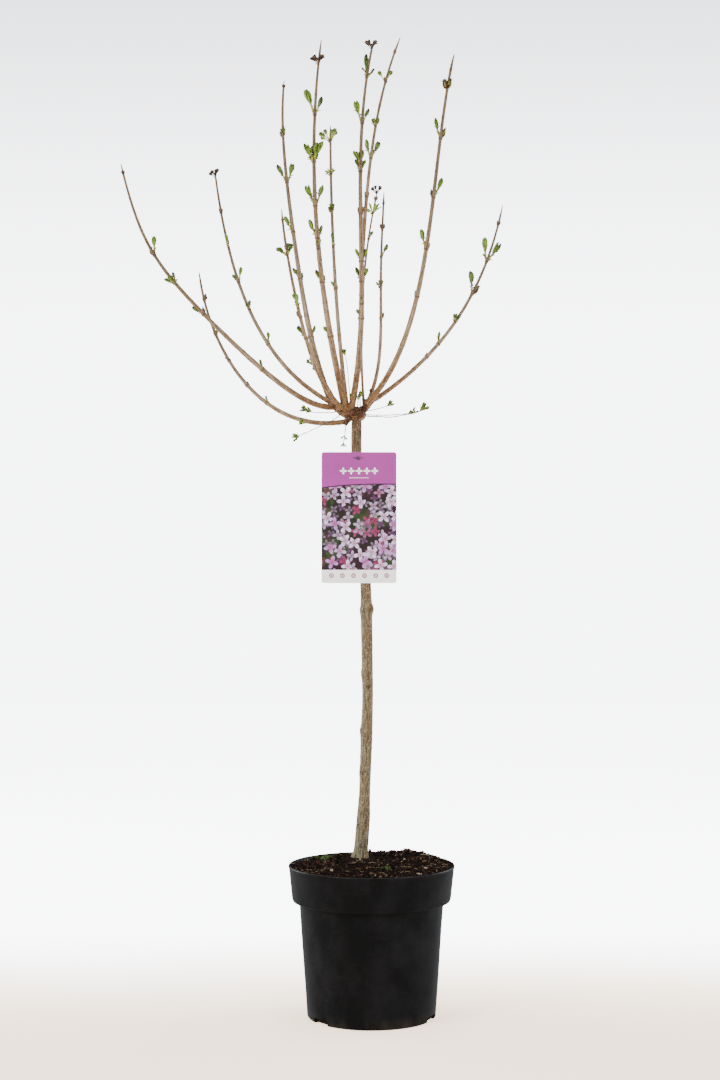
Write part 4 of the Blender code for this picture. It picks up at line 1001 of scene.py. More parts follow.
graftPlan = {
    "burl": ((-0.019, 0.012, 0.7965), (0.0125, 0.0105, 0.0095)),
    "arms": (((-0.021, 0.012, 0.7935), (-0.030, 0.010, 0.7930), (-0.042, 0.009, 0.8010),
              (-0.053, 0.012, 0.8110)),
             ((-0.018, 0.012, 0.7975), (-0.010, 0.010, 0.8030), (-0.003, 0.009, 0.8130),
              (0.006, 0.008, 0.8220))),
    "armThick": (12.0, 9.0),
    # middle and radius of each knob, and how dark its cut is
    "knobs": (((-0.0240, 0.0005, 0.7990), 0.0042, 1.0), ((-0.0180, 0.0045, 0.8045), 0.0038, 1.0),
              ((-0.0135, 0.0005, 0.7965), 0.0044, 1.0), ((-0.0105, 0.0065, 0.8035), 0.0040, 1.0),
              ((-0.0310, 0.0035, 0.7900), 0.0046, 1.0), ((-0.0220, 0.0215, 0.8030), 0.0044, 0.6),
              ((-0.0345, 0.0060, 0.7855), 0.0034, 1.0), ((-0.0185, 0.0015, 0.7890), 0.0030, 0.9),
              ((-0.0075, 0.0020, 0.8075), 0.0026, 1.0), ((-0.0400, 0.0045, 0.8030), 0.0026, 0.9),
              ((-0.0150, 0.0200, 0.7960), 0.0040, 0.6), ((-0.0300, 0.0180, 0.7960), 0.0036, 0.5)),
    # places where a cut shoot has left a short stub, with its end and thickness in millimetres
    "cuts": (((-0.0390, 0.0060, 0.8010), (-0.0470, 0.0010, 0.8105), 3.2),
             ((0.0000, 0.0070, 0.8160), (-0.0010, 0.0010, 0.8290), 3.4),
             ((0.0080, 0.0060, 0.8260), (0.0115, 0.0000, 0.8370), 3.0),
             ((-0.0105, 0.0080, 0.8010), (-0.0085, 0.0030, 0.8165), 3.0)),
    "knobShape": (0.95, 0.80, 0.75),
    "rootReach": 0.017,
    "rootThick": (1.12, 0.90),  # of the limb's foot, from the arm to the root's end in the limb
    "voxel": 0.00062,
    "smoothing": 7,
    "lumpHeight": 0.00035,
    "gnarlHeight": 0.00060,
    "grainHeight": 0.00016,
    "poreHeight": 0.00012,
}


def tubeSkin(places, radii, columns=20):
    points, ends = barkSkin(places, radii, roundAngles(columns), np.zeros((len(places), columns)))
    return skins(points[None], ends[None])


def ballSkin(middle, size, rows=10, columns=18):
    # Rings of an ellipsoid between two poles.
    lifts = np.linspace(-math.pi / 2, math.pi / 2, rows + 2)[1:-1, None]
    angles = roundAngles(columns)[None, :]
    shape = np.stack([np.cos(lifts) * np.cos(angles), np.cos(lifts) * np.sin(angles),
                      np.sin(lifts) * np.ones_like(angles)], axis=-1)
    poles = np.array([[0.0, 0.0, -1.0], [0.0, 0.0, 1.0]])
    return skins((shape * size + middle)[None], (poles * size + middle)[None])


def shapedBy(piece, *modifiers):
    # The piece's mesh after its modifiers, and the piece itself removed.
    for number, (kind, settings) in enumerate(modifiers):
        modifier = piece.modifiers.new(f"step{number}", kind)
        for key, value in settings.items():
            setattr(modifier, key, value)
    shaped = bpy.data.meshes.new_from_object(piece.evaluated_get(bpy.context.evaluated_depsgraph_get()))
    bpy.data.objects.remove(piece)
    return shaped


def fetched(items, field, width=1, kind=float):
    # One field of all the items, with this many numbers for each.
    values = np.empty(len(items) * width, kind)
    items.foreach_get(field, values)
    return values.reshape(-1, width) if width > 1 else values


def meshArrays(mesh):
    # A mesh's points and normals, and its faces as quads and triangles.
    counts = fetched(mesh.polygons, "loop_total", kind=np.int32)
    corners = fetched(mesh.loops, "vertex_index", kind=np.int32)
    starts = np.concatenate([[0], np.cumsum(counts)[:-1]])
    quads = corners[starts[counts == 4][:, None] + np.arange(4)]
    triangles = corners[starts[counts == 3][:, None] + np.arange(3)]
    return fetched(mesh.vertices, "co", 3), fetched(mesh.vertices, "normal", 3), quads, triangles


def lumps(points, rng, waves, height, pitch):
    # A sum of waves that cross the space in all directions.
    ways = unit(rng.normal(size=(waves, 3))) * turn / (pitch * rng.uniform(0.6, 1.6, (waves, 1)))
    strength = rng.uniform(0.4, 1.0, waves) / math.sqrt(waves)
    return height * (np.cos(points @ ways.T + rng.uniform(0.0, turn, waves)) * strength).sum(axis=1)


def graftParts():
    # The burl, the arms, the knobs, the stubs, and each limb's root, which runs from the nearest place on
    # an arm to the limb's foot and a little way up in it.
    plan = graftPlan
    arms = [measured(arm) for arm in plan["arms"]]
    parts = [ballSkin(*np.array(plan["burl"]))]
    for line in arms:
        shares = np.linspace(0.0, 1.0, 40)
        thick = np.interp(shares, (0.0, 1.0), plan["armThick"]) * mm
        parts.append(tubeSkin(placeAt(line, shares), thick / 2.0))
    for middle, radius, _ in plan["knobs"]:
        parts.append(ballSkin(np.array(middle), radius * np.array(plan["knobShape"])))
    for first, last, thick in plan["cuts"]:
        parts.append(tubeSkin(np.linspace(first, last, 12), np.full(12, thick * mm / 2.0)))
    wide, thin = plan["rootThick"]
    for limb in limbPlans.values():
        if limb["forked"]:
            continue
        line = measured(limb["curve"])
        foot = np.array(limb["curve"][0])
        near = min((placeAt(arm, np.linspace(0.0, 1.0, 60)) for arm in arms),
                   key=lambda places: np.linalg.norm(places - foot, axis=1).min())
        start = near[np.linalg.norm(near - foot, axis=1).argmin()]
        rise = placeAt(line, np.linspace(0.0, plan["rootReach"] / line[2], 20))
        lead = np.linspace(start, foot, 6)[:-1] if np.linalg.norm(start - foot) > 0.001 else rise[:0]
        full = radiusAt(limb, 0.0)
        radii = np.concatenate([np.full(len(lead), full * wide), full * np.linspace(wide, thin, 20)])
        parts.append(tubeSkin(np.concatenate([lead, rise]), radii))
    return parts


def makeGraft():
    # The parts melt into one skin, which gnarls, lumps and a fine grain make uneven along its normals.
    rng = np.random.default_rng(41)
    plan = graftPlan
    rough = putMesh("graftRough", *joinedSkins(graftParts()), [])
    shaped = shapedBy(rough, ("REMESH", {"mode": "VOXEL", "voxel_size": plan["voxel"]}),
                      ("SMOOTH", {"factor": 0.5, "iterations": plan["smoothing"]}))
    points, normals, quads, triangles = meshArrays(shaped)
    bpy.data.meshes.remove(shaped)
    nodes = np.zeros(len(points))
    for middle, radius, dark in plan["knobs"]:
        away = np.linalg.norm(points - np.array(middle), axis=1)
        nodes = np.maximum(nodes, dark * np.clip((radius * 1.45 - away) / (radius * 0.45), 0.0, 1.0))
    for _, last, thick in plan["cuts"]:
        away = np.linalg.norm(points - np.array(last), axis=1)
        nodes = np.maximum(nodes, np.clip(1.6 - away / (thick * mm), 0.0, 1.0))
    pores = np.clip(lumps(points, rng, 40, 1.0, 0.0022) * 2.4 - 1.5, 0.0, 1.0)
    gnarls = lumps(points, rng, 30, 1.0, 0.0036)
    nodes *= np.clip(1.05 + 0.6 * lumps(points, rng, 24, 1.0, 0.0030), 0.3, 1.0)
    # painted shade: the deepest hollows of the gnarls take the dark node colour, beside the real dark cuts of
    # the knobs and stubs
    nodes = np.maximum(nodes, 0.9 * np.clip(-1.5 * gnarls - 1.0, 0.0, 1.0))
    proud = (lumps(points, rng, 24, plan["lumpHeight"], 0.009) * (1.0 + 1.2 * nodes)
             + gnarls * plan["gnarlHeight"] * (0.3 + 1.3 * nodes)
             + lumps(points, rng, 40, plan["grainHeight"], 0.0022) * (1.0 + nodes)
             + plan["poreHeight"] * pores)
    marks = {"barkPlace": points * np.array([1.0, 1.0, 0.6]), "poreMark": pores * 0.5, "nodeMark": nodes,
             "ageMark": np.zeros(len(points))}
    graft = putMesh("graft", points + normals * proud[:, None], quads, triangles, [limbBark], marks=marks)
    keep(graft, "young_bark", "graft_head")


makeGraft()
print("graft made")


# The pot

potPlan = {
    "height": 0.200,
    "collarFoot": 0.153,
    "rim": 0.110,
    "collar": 0.1052,
    "body": 0.0959,
    "base": 0.0851,
    "wall": 0.0018,
    "sides": 320,
    "slotSides": (-52.0, 68.0, 188.0),  # degrees round from the front to the right
    "slotSize": (0.028, 0.016, 0.015),
    "slotRound": 0.003,
    "waver": 0.00022,
    "finish": {"base": (0.0026, 0.0025, 0.0027), "worn": (0.0060, 0.0060, 0.0070),
               "dust": (0.05, 0.038, 0.026), "dusty": 0.016, "rough": (0.30, 0.44), "shine": 0.15},
}


def softened(outline, steps=7):
    # Each corner (radius, height, rounding) becomes a short Bezier arc from one side to the other.
    rounded = [outline[0][:2]]
    for before, here, after in zip(outline, outline[1:], outline[2:]):
        corner = np.array(here[:2])
        reach = here[2]
        first = corner + unit(np.array(before[:2]) - corner) * reach
        last = corner + unit(np.array(after[:2]) - corner) * reach
        rounded.extend(bezier([first, corner, last], np.linspace(0.0, 1.0, steps if reach > 0.0 else 1)))
    rounded.append(outline[-1][:2])
    return np.array(rounded)


def spacedOut(outline, step):
    # The same line with more places along its long runs.
    places = [outline[:1]]
    for first, last in zip(outline, outline[1:]):
        count = max(1, int(np.linalg.norm(last - first) / step))
        places.append(first + (last - first) * np.linspace(0.0, 1.0, count + 1)[1:, None])
    return np.concatenate(places)


def wallProfile(inset, top):
    # The inside of the pot, from its floor to the given height, moved in by the inset.
    plan = potPlan
    foot = plan["collarFoot"]
    slope = (plan["rim"] - plan["collar"]) / (plan["height"] - foot)
    return softened([(0.0, plan["wall"] + inset, 0.0),
                     (plan["base"] - plan["wall"] - inset, plan["wall"] + inset, 0.002),
                     (plan["body"] - plan["wall"] - inset, foot + 0.0004 + inset, 0.001),
                     (plan["collar"] - plan["wall"] - inset, foot + 0.0018 + inset, 0.001),
                     (plan["collar"] + slope * (top - foot) - plan["wall"] - inset, top, 0.0)])


def wallRadius(heights):
    # The inside of the pot's collar, which widens evenly from its foot to the rim.
    return np.interp(heights, (potPlan["collarFoot"], potPlan["height"]),
                     (potPlan["collar"], potPlan["rim"])) - potPlan["wall"]


def potWaver(angles, heights):
    # How far the wall strays from round: a few slow waves round it that differ with height.
    return (np.cos(3 * angles + 40.0 * heights) + 0.6 * np.cos(7 * angles - 25.0 * heights + 1.0)
            + 0.4 * np.cos(13 * angles + 60.0 * heights + 2.0)) / 2.0


def spunSkin(outline, sides, waver=0.0):
    # The outline turned round the pot's middle, with its two ends as poles.
    angles = roundAngles(sides)[None, :]
    radius, height = outline[1:-1, 0][:, None], outline[1:-1, 1][:, None]
    reach = radius * (1.0 + waver / 0.1 * potWaver(angles, height))
    grid = np.stack([reach * np.sin(angles), -reach * np.cos(angles), height + 0.0 * angles], axis=-1)
    poles = np.array([[0.0, 0.0, outline[0, 1]], [0.0, 0.0, outline[-1, 1]]])
    return skins(grid[None], poles[None])


def roundedBox(size, rounding, columns=6):
    # A box whose four upright edges, seen along Y, are round.
    halves = np.array([size[0], size[2]]) / 2.0 - rounding
    corners = []
    for quarter, (right, up) in enumerate(((1, 1), (-1, 1), (-1, -1), (1, -1))):
        angles = math.pi / 2 * (quarter + np.linspace(0.0, 1.0, columns))
        corners.append(np.stack([right * halves[0] + rounding * np.cos(angles),
                                 up * halves[1] + rounding * np.sin(angles)], axis=-1))
    ring = np.concatenate(corners)
    depth = size[1] / 2.0
    grid = np.stack([np.column_stack([ring[:, 0], np.full(len(ring), y), ring[:, 1]])
                     for y in (-depth, depth)])
    poles = np.array([[0.0, -depth, 0.0], [0.0, depth, 0.0]])
    return skins(grid[None], poles[None])


def cutOut(piece, cutters):
    # The piece's mesh after one Boolean cut with all the cutters joined, with its hard edges marked.
    cutter = putMesh("cutter", *joinedSkins(cutters), [], smooth=False)
    cutter.hide_render = True
    shaped = shapedBy(piece, ("BOOLEAN", {"operation": "DIFFERENCE", "solver": "EXACT", "object": cutter}))
    bpy.data.objects.remove(cutter)
    shaped.set_sharp_from_angle(angle=math.radians(38.0))
    return shaped


def turned(points, degrees):
    angle = math.radians(degrees)
    return points @ np.array([[math.cos(angle), math.sin(angle), 0.0],
                              [-math.sin(angle), math.cos(angle), 0.0], [0.0, 0.0, 1.0]])


def potFinish():
    # Satin black plastic: paler where the clouds of wear are, with smears, grit, and dust at the foot.
    look = potPlan["finish"]
    finish, tree, shader, where = newFinish("blackPlastic")
    wear = grain(tree, where, 28.0, 5.0, 0.42, 0.74, 0.7)
    smears = grain(tree, where, 34.0, 6.0, 0.56, 0.78, 7.0)
    grit = effect(tree, "specks", vector=where, scale=170.0, size=0.16, softness=0.12)
    fewer = grain(tree, where, 22.0, 2.0, 0.56, 0.7)
    low = ramp(tree, makeNode(tree, "SeparateXYZ", {0: where}).outputs["Z"], look["dusty"], 0.0, high=0.5)
    colour = mixed(tree, wear, look["base"], look["worn"])
    colour = mixed(tree, times(tree, smears, 0.2), colour, scaled(look["worn"], 2.0))
    colour = mixed(tree, times(tree, times(tree, grit, fewer), 0.5), colour, look["dust"])
    colour = mixed(tree, times(tree, low, wear), colour, look["dust"])
    skin = grain(tree, where, 700.0, 3.0, 0.3, 0.7)
    plug(tree, shader, {
        "Base Color": colour, "Roughness": ramp(tree, wear, 0.0, 1.0, *look["rough"]),
        "Specular IOR Level": look["shine"],
        "Normal": effect(tree, "relief", height=skin, strength=0.12, distance=0.0001)})
    return finish


def makePot():
    plan = potPlan
    base, body, foot, collar, rim, height = (plan[name] for name in (
        "base", "body", "collarFoot", "collar", "rim", "height"))
    # radius, height and rounding of each corner, from the middle of the bottom up to the rim
    outer = [(0.0, 0.0, 0.0), (base - 0.0015, 0.0, 0.0008), (base, 0.0015, 0.0008),
             (body - 0.0006, foot - 0.0035, 0.0012), (body - 0.0006, foot + 0.0002, 0.0004),
             (collar - 0.0012, foot + 0.0002, 0.0012), (collar, foot + 0.0030, 0.0018),
             (rim - 0.0006, height - 0.0032, 0.0004), (rim, height - 0.0026, 0.0003),
             (rim, height - 0.0004, 0.0003), (rim - 0.0004, height, 0.0002),
             (rim - plan["wall"], height, 0.0002)]
    inner = wallProfile(0.0, height)[::-1]
    outline = spacedOut(np.concatenate([softened(outer, 5)[:-1], inner]), 0.006)
    pot = putMesh("pot", *spunSkin(outline, plan["sides"], plan["waver"]), [])
    slots = []
    for side in plan["slotSides"]:
        points, quads, triangles = roundedBox(plan["slotSize"], plan["slotRound"])
        slots.append((turned(points + np.array([0.0, -base, 0.0]), side), quads, triangles))
    shaped = cutOut(pot, slots)
    shaped.materials.clear()
    shaped.materials.append(potFinish())
    keep(placed("pot_shell", shaped), "black_plastic", "pot")


makePot()
print("pot made")


# The soil: a body that fills the pot, loose crumbs, fibres and a little moss on top

soilPlan = {
    "crown": 0.2055,
    "edge": 0.1985,
    "dip": 0.0090,
    "dipSide": 205.0,
    "patch": 0.016,
    "foot": (-0.0145, 0.0250),
    "gap": 0.0003,
    "wallDrop": 0.014,  # from the rim to where the soil's own side ends
    "sides": 220,
    "heap": ((0.050, 0.068), 0.032, 0.0060),  # middle, reach and height
    "roughHeight": 0.0018,
    "crumbs": 8200,
    "crumbSize": (0.0006, 0.0028),
    "fibres": 260,
    "longFibres": ((((0.062, 0.048, 0.2035), (0.071, 0.045, 0.2085), (0.079, 0.044, 0.2040)), 0.00045),
                   (((0.1025, 0.020, 0.1975), (0.1090, 0.018, 0.2065), (0.1160, 0.014, 0.2030)), 0.00013)),
    # middle and reach of each patch, and how many bits for each square metre of its reach
    "moss": ((-0.051, 0.004, 0.010), (-0.080, 0.029, 0.007), (0.020, -0.060, 0.005)),
    "mossCount": 7e6,
    "mossSize": (0.0005, 0.0014),
    "colours": {
        # colour and how many of the crumbs have it
        "peatBrown": ((0.0115, 0.0060, 0.0042), 0.47), "peatBlack": ((0.0034, 0.0022, 0.0018), 0.35),
        "peatRed": ((0.028, 0.012, 0.0075), 0.15), "peatTan": ((0.075, 0.045, 0.026), 0.025),
        "peatCream": ((0.26, 0.20, 0.14), 0.005)},
    "mossColour": (0.024, 0.036, 0.010),
    "fibreColour": (0.20, 0.14, 0.08),
}


def outwards(angles):
    # The level direction at each angle round from the front towards the right.
    return np.stack([np.sin(angles), -np.cos(angles)], axis=-1)


def soilHeight(angles, shares):
    # The CAD's mound: crown + (edge - crown) share^2, where the edge dips by cos^2 towards the back left.
    towards = np.maximum(np.cos(angles - math.radians(soilPlan["dipSide"])), 0.0)
    edge = soilPlan["edge"] - soilPlan["dip"] * towards**2
    return soilPlan["crown"] + (edge - soilPlan["crown"]) * shares**2


def soilPlace(angles, shares):
    # A place on top of the soil: from the stem's foot out to the wall, with the heap and some unevenness.
    rim = wallRadius(soilHeight(angles, 1.0)) - soilPlan["gap"]
    out = outwards(angles)
    near = np.array(soilPlan["foot"]) + out * soilPlan["patch"]
    flat = near + (out * rim[..., None] - near) * shares[..., None]
    middle, reach, rise = soilPlan["heap"]
    height = soilHeight(angles, shares) + rise * bump(np.linalg.norm(flat - np.array(middle), axis=-1), reach)
    rough = lumps(np.concatenate([flat, 0.0 * flat[..., :1]], axis=-1).reshape(-1, 3),
                  np.random.default_rng(77), 40, soilPlan["roughHeight"], 0.012).reshape(height.shape)
    height = height + rough * np.minimum(1.0, (1.0 - shares) * 5.0) * np.minimum(1.0, shares * 5.0)
    return np.concatenate([flat, height[..., None]], axis=-1)


def soilFinish():
    # Dark clumps with a red tone on some of them.
    finish, tree, shader, where = newFinish("peatBody")
    brown, black, red = (soilPlan["colours"][name][0] for name in ("peatBrown", "peatBlack", "peatRed"))
    clumps = grain(tree, where, 330.0, 6.0, 0.4, 0.62)
    light = grain(tree, where, 520.0, 3.0, 0.6, 0.66)
    plug(tree, shader, {
        "Base Color": mixed(tree, times(tree, light, 0.7), mixed(tree, clumps, black, brown), red),
        "Roughness": 0.95, "Specular IOR Level": 0.05,
        "Normal": effect(tree, "relief", height=clumps, strength=0.8, distance=0.0012)})
    return finish


def makeSoil():
    angles = roundAngles(soilPlan["sides"])
    top = [soilPlace(angles, np.full_like(angles, share)) for share in np.linspace(0.0, 1.0, 46)]
    wall = spacedOut(wallProfile(soilPlan["gap"], potPlan["height"] - soilPlan["wallDrop"])[1:-1], 0.01)
    rings = [np.column_stack([radius * outwards(angles), np.full_like(angles, height)])
             for radius, height in wall]
    poles = np.array([[0.0, 0.0, wall[0, 1]], [*soilPlan["foot"], soilPlan["crown"]]])
    keep(putMesh("soil_body", *skins(np.stack(rings + top[::-1])[None], poles[None]), [soilFinish()]),
         "peat", "soil")


def crumbShape():
    # The twelve corners and twenty faces of an icosahedron of radius 1.
    shape = bmesh.new()
    bmesh.ops.create_icosphere(shape, subdivisions=1, radius=1.0)
    corners = np.array([corner.co[:] for corner in shape.verts])
    faces = np.array([[corner.index for corner in face.verts] for face in shape.faces])
    shape.free()
    return corners, faces


def anyTurn(rng, count):
    # Random turns: a random direction, a second square to it, and the third square to both.
    first = unit(rng.normal(size=(count, 3)))
    second = square(rng.normal(size=(count, 3)), first)
    return np.stack([first, second, np.cross(first, second)], axis=1)


def makeCrumbs(name, places, sizes, flatness, finishes, kinds, rng):
    # One deformed icosahedron at each place.
    corners, faces = crumbShape()
    count = len(places)
    shapes = corners[None] * rng.uniform(0.72, 1.28, (count, len(corners), 1))
    shapes = shapes * np.stack([rng.uniform(0.75, 1.5, count), rng.uniform(0.7, 1.1, count),
                                rng.uniform(*flatness, count)], axis=-1)[:, None]
    shapes = np.einsum("nij,njk->nik", shapes, anyTurn(rng, count)) * sizes[:, None, None]
    points = (shapes + places[:, None]).reshape(-1, 3)
    triangles = (faces[None] + (np.arange(count) * len(corners))[:, None, None]).reshape(-1, 3)
    keep(putMesh(name, points, np.empty((0, 4), int), triangles, finishes,
                 finishOf=np.repeat(kinds, len(faces)), smooth=False), "peat", "soil")


def makeCrumble():
    # Crumbs of many sizes, most of them small: small (large / small)^(u^2.2), where u is even from 0 to 1.
    rng = np.random.default_rng(31)
    colours = soilPlan["colours"]
    finishes = [leafFinish(name, colour, roughness=0.88, shine=0.05) for name, (colour, _) in colours.items()]
    count = soilPlan["crumbs"]
    angles, shares = rng.uniform(0.0, turn, count), np.sqrt(rng.uniform(0.0, 1.0, count))
    small, large = soilPlan["crumbSize"]
    sizes = small * (large / small) ** (rng.uniform(0.0, 1.0, count) ** 2.2)
    places = soilPlace(angles, shares * 0.985)
    places[:, 2] += sizes * rng.uniform(-0.3, 0.6, count)
    kinds = rng.choice(len(colours), count, p=[share for _, share in colours.values()])
    # a crumb that would touch the wall is moved in
    out = np.linalg.norm(places[:, :2], axis=1)
    places[:, :2] *= np.minimum(1.0, (wallRadius(places[:, 2]) - sizes * 1.35) / out)[:, None]
    makeCrumbs("crumbs", places, sizes, (0.5, 1.0), finishes, kinds, rng)


def makeMoss():
    # Each tuft thins out from its middle, and every bit of it stands on the soil.
    rng = np.random.default_rng(52)
    flat = np.concatenate([rng.normal(size=(int(soilPlan["mossCount"] * reach * reach), 2)) * reach * 0.45
                           + np.array([x, y]) for x, y, reach in soilPlan["moss"]])
    angles = np.arctan2(flat[:, 0], -flat[:, 1])
    rim = soilPlace(angles, np.ones(len(flat)))[:, :2]
    near = np.array(soilPlan["foot"]) + outwards(angles) * soilPlan["patch"]
    shares = np.linalg.norm(flat - near, axis=1) / np.linalg.norm(rim - near, axis=1)
    places = soilPlace(angles, shares.clip(0.0, 0.98))
    sizes = rng.uniform(*soilPlan["mossSize"], len(places))
    places[:, 2] += 0.0012 + sizes * rng.uniform(0.0, 1.2, len(places))
    finishes = [leafFinish("moss", soilPlan["mossColour"], roughness=0.8, spread=0.5, shine=0.1),
                leafFinish("mossTip", scaled(soilPlan["mossColour"], 2.0), roughness=0.8, shine=0.1)]
    kinds = (rng.uniform(size=len(places)) < 0.3).astype(int)
    makeCrumbs("moss", places, sizes, (0.8, 1.4), finishes, kinds, rng)


def makeFibres():
    # Thin fibres on the soil, each a short bent skin; two long ones stand at the right of the rim.
    rng = np.random.default_rng(63)
    count = soilPlan["fibres"]
    starts = soilPlace(rng.uniform(0.0, turn, count), np.sqrt(rng.uniform(0.0, 0.9, count)))
    lengths = rng.uniform(0.003, 0.013, count)
    ways = unit(np.column_stack([rng.normal(size=(count, 2)), rng.uniform(-0.1, 0.5, count)]))
    curls = square(rng.normal(size=(count, 3)), ways) * lengths[:, None] * 0.3
    curves = [(start + np.array([0.0, 0.0, 0.0008]), start + way * length / 2 + curl,
               start + way * length * np.array([1.0, 1.0, 0.3]))
              for start, way, length, curl in zip(starts, ways, lengths, curls)]
    radii = list(rng.uniform(0.00012, 0.00034, count))
    for curve, radius in soilPlan["longFibres"]:
        curves.append(curve)
        radii.append(radius)
    shapes = [barkSkin(bezier(np.array(curve), np.linspace(0.0, 1.0, 7)), np.full(7, radius), roundAngles(5),
                       np.zeros((7, 5))) for curve, radius in zip(curves, radii)]
    grids, poles = (np.stack(group) for group in zip(*shapes))
    finish = leafFinish("fibre", soilPlan["fibreColour"], roughness=0.8, spread=0.5)
    keep(putMesh("fibres", *skins(grids, poles), [finish]), "peat", "soil")


makeSoil()
makeCrumble()
makeMoss()
makeFibres()
print("soil made")


# The hanging tag and its band

tagPlan = {
    "middle": (-0.0165, -0.0085, 0.6596),
    "size": (0.0990, 0.0008, 0.1730),
    "corner": 0.0030,
    "slit": (-0.018, 0.7375),
    "slitSpread": 0.0024,
    "slitSize": (0.0016, 0.010, 0.0034),
    "bow": 0.0011,
    "dimple": (0.0012, 0.0045),
    "step": 0.0015,
    "white": (0.96, 0.96, 0.98),
}

cardLook = {
    "header": (0.31, 0.042, 0.27),
    "headerEdge": (0.030, 0.006, 0.028),
    # the painted shade round the band's crease, and below it that shade's half width and half height
    "creaseShade": (0.11, 0.012, 0.085),
    "creaseShadeHalf": (0.0095, 0.0021),
    "symbol": (0.20, 0.030, 0.085),
    "leafDark": (0.008, 0.014, 0.005),
    "leafLight": (0.032, 0.060, 0.012),
    "shadow": (0.022, 0.005, 0.010),
    "petals": ((0.66, 0.56, 0.84), (0.42, 0.22, 0.56), (0.46, 0.055, 0.20)),
    "bud": (0.26, 0.020, 0.085),
    # scale, flower size and brightness of each layer, from the back to the front
    "layers": ((90.0, 0.52, 0.25), (74.0, 0.55, 0.55), (60.0, 0.56, 1.0)),
    "borderHeight": 0.7040,  # the header's lower edge at the tag's middle
    "borderEdge": 0.0014,
    "stripHeight": 0.5905,
    # height, pitch and half length of each row
    "flowerRow": (0.7212, 0.0104, 0.0260),
    "dotRow": (0.7122, 0.0026, 0.0130),
    "ringRow": (0.5830, 0.0146, 0.0438),
    "flowerReach": (0.0009, 0.0036),
    "flowerHeart": 0.0007,
    "dotReach": 0.0007,
    "ringReach": (0.0017, 0.0031),
    "ringDot": 0.0009,
}

bandLook = {
    "base": (0.020, 0.014, 0.026),
    "worn": (0.055, 0.045, 0.065),
    "thickHalf": 0.00035,
    "highHalf": 0.0013,
    "lift": 0.0005,
    "stemGap": 0.0008,
    "tagGap": 0.0012,
}


def petals(tree, angle, power):
    # Four petals round a middle: |cos angle|^power, where the angle runs round it twice.
    return calc(tree, "POWER", calc(tree, "ABSOLUTE", calc(tree, "COSINE", angle)), power)


def blossomGroup():
    # A flower of four petals in each cell of a pattern of cells: the reach of its outline is
    # Size (0.2 + 0.8 |cos 2a|^1.4), where a is the angle round the cell's middle, turned at random.
    group, given, out = makeGroup("blossoms", {"Vector": None, "Scale": 80.0, "Size": 0.5},
                                  {"Mask": 0.0, "Depth": 0.0, "Chance": 0.0, "Middle": None})
    spread = vectorCalc(group, "SCALE", {0: given["Vector"], "Scale": given["Scale"]})
    cells = makeNode(group, "TexVoronoi", {"Vector": spread, "Scale": 1.0, "Randomness": 0.7},
                     voronoi_dimensions="2D").outputs
    away = vectorCalc(group, "SUBTRACT", {0: spread, 1: cells["Position"]})
    away = makeNode(group, "SeparateXYZ", {0: away})
    chance = makeNode(group, "SeparateColor", {0: cells["Color"]}).outputs
    angle = times(group, calc(group, "ARCTAN2", away.outputs["Y"], away.outputs["X"]), 2.0)
    lobe = petals(group, calc(group, "ADD", angle, times(group, chance[0], turn)), 1.4)
    reach = times(group, calc(group, "ADD", times(group, lobe, 0.8), 0.2), given["Size"])
    shrink = calc(group, "DIVIDE", 1.0, given["Scale"])
    plug(group, out, {
        "Mask": ramp(group, calc(group, "SUBTRACT", reach, cells["Distance"]), 0.0, 0.05),
        "Depth": calc(group, "DIVIDE", cells["Distance"], reach), "Chance": chance[1],
        "Middle": vectorCalc(group, "SCALE", {0: cells["Position"], "Scale": shrink})})
    return group


groups["blossoms"] = blossomGroup()


def between(tree, value, low, high):
    # 1 where the value lies between low and high.
    return times(tree, calc(tree, "GREATER_THAN", value, low), calc(tree, "LESS_THAN", value, high))


def rowCell(tree, across, pitch, ends):
    # Repeats every pitch, centred in each place of a row that ends at the given distance both ways.
    wrapped = calc(tree, "WRAP", calc(tree, "ADD", across, ends), pitch, 0.0)
    return calc(tree, "SUBTRACT", wrapped, pitch / 2.0), between(tree, across, -ends, ends)


def squares(tree, first, second):
    # first^2 + second^2
    return calc(tree, "ADD", times(tree, first, first), times(tree, second, second))


def roundAway(tree, cell, rise):
    return calc(tree, "POWER", squares(tree, cell, rise), 0.5)


def flowerMask(tree, across, up):
    # A row of five plain flowers of four petals across the header, and a row of dots under it.
    look = cardLook
    height, *row = look["flowerRow"]
    cell, inside = rowCell(tree, across, *row)
    rise = calc(tree, "SUBTRACT", up, height)
    lobe = petals(tree, times(tree, calc(tree, "ARCTAN2", rise, cell), 2.0), 1.2)
    least, more = look["flowerReach"]
    reach = calc(tree, "ADD", times(tree, lobe, more), least)
    away = roundAway(tree, cell, rise)
    flowers = between(tree, away, look["flowerHeart"], reach)
    height, *row = look["dotRow"]
    cell, near = rowCell(tree, across, *row)
    away = roundAway(tree, cell, calc(tree, "SUBTRACT", up, height))
    spots = calc(tree, "LESS_THAN", away, look["dotReach"])
    return calc(tree, "MAXIMUM", times(tree, flowers, inside), times(tree, spots, near))


def ringMask(tree, across, up):
    # A row of six plain rings with a dot in each.
    height, *row = cardLook["ringRow"]
    cell, inside = rowCell(tree, across, *row)
    distance = roundAway(tree, cell, calc(tree, "SUBTRACT", up, height))
    ring = between(tree, distance, *cardLook["ringReach"])
    dot = calc(tree, "LESS_THAN", distance, cardLook["ringDot"])
    return times(tree, calc(tree, "MAXIMUM", ring, dot), inside)


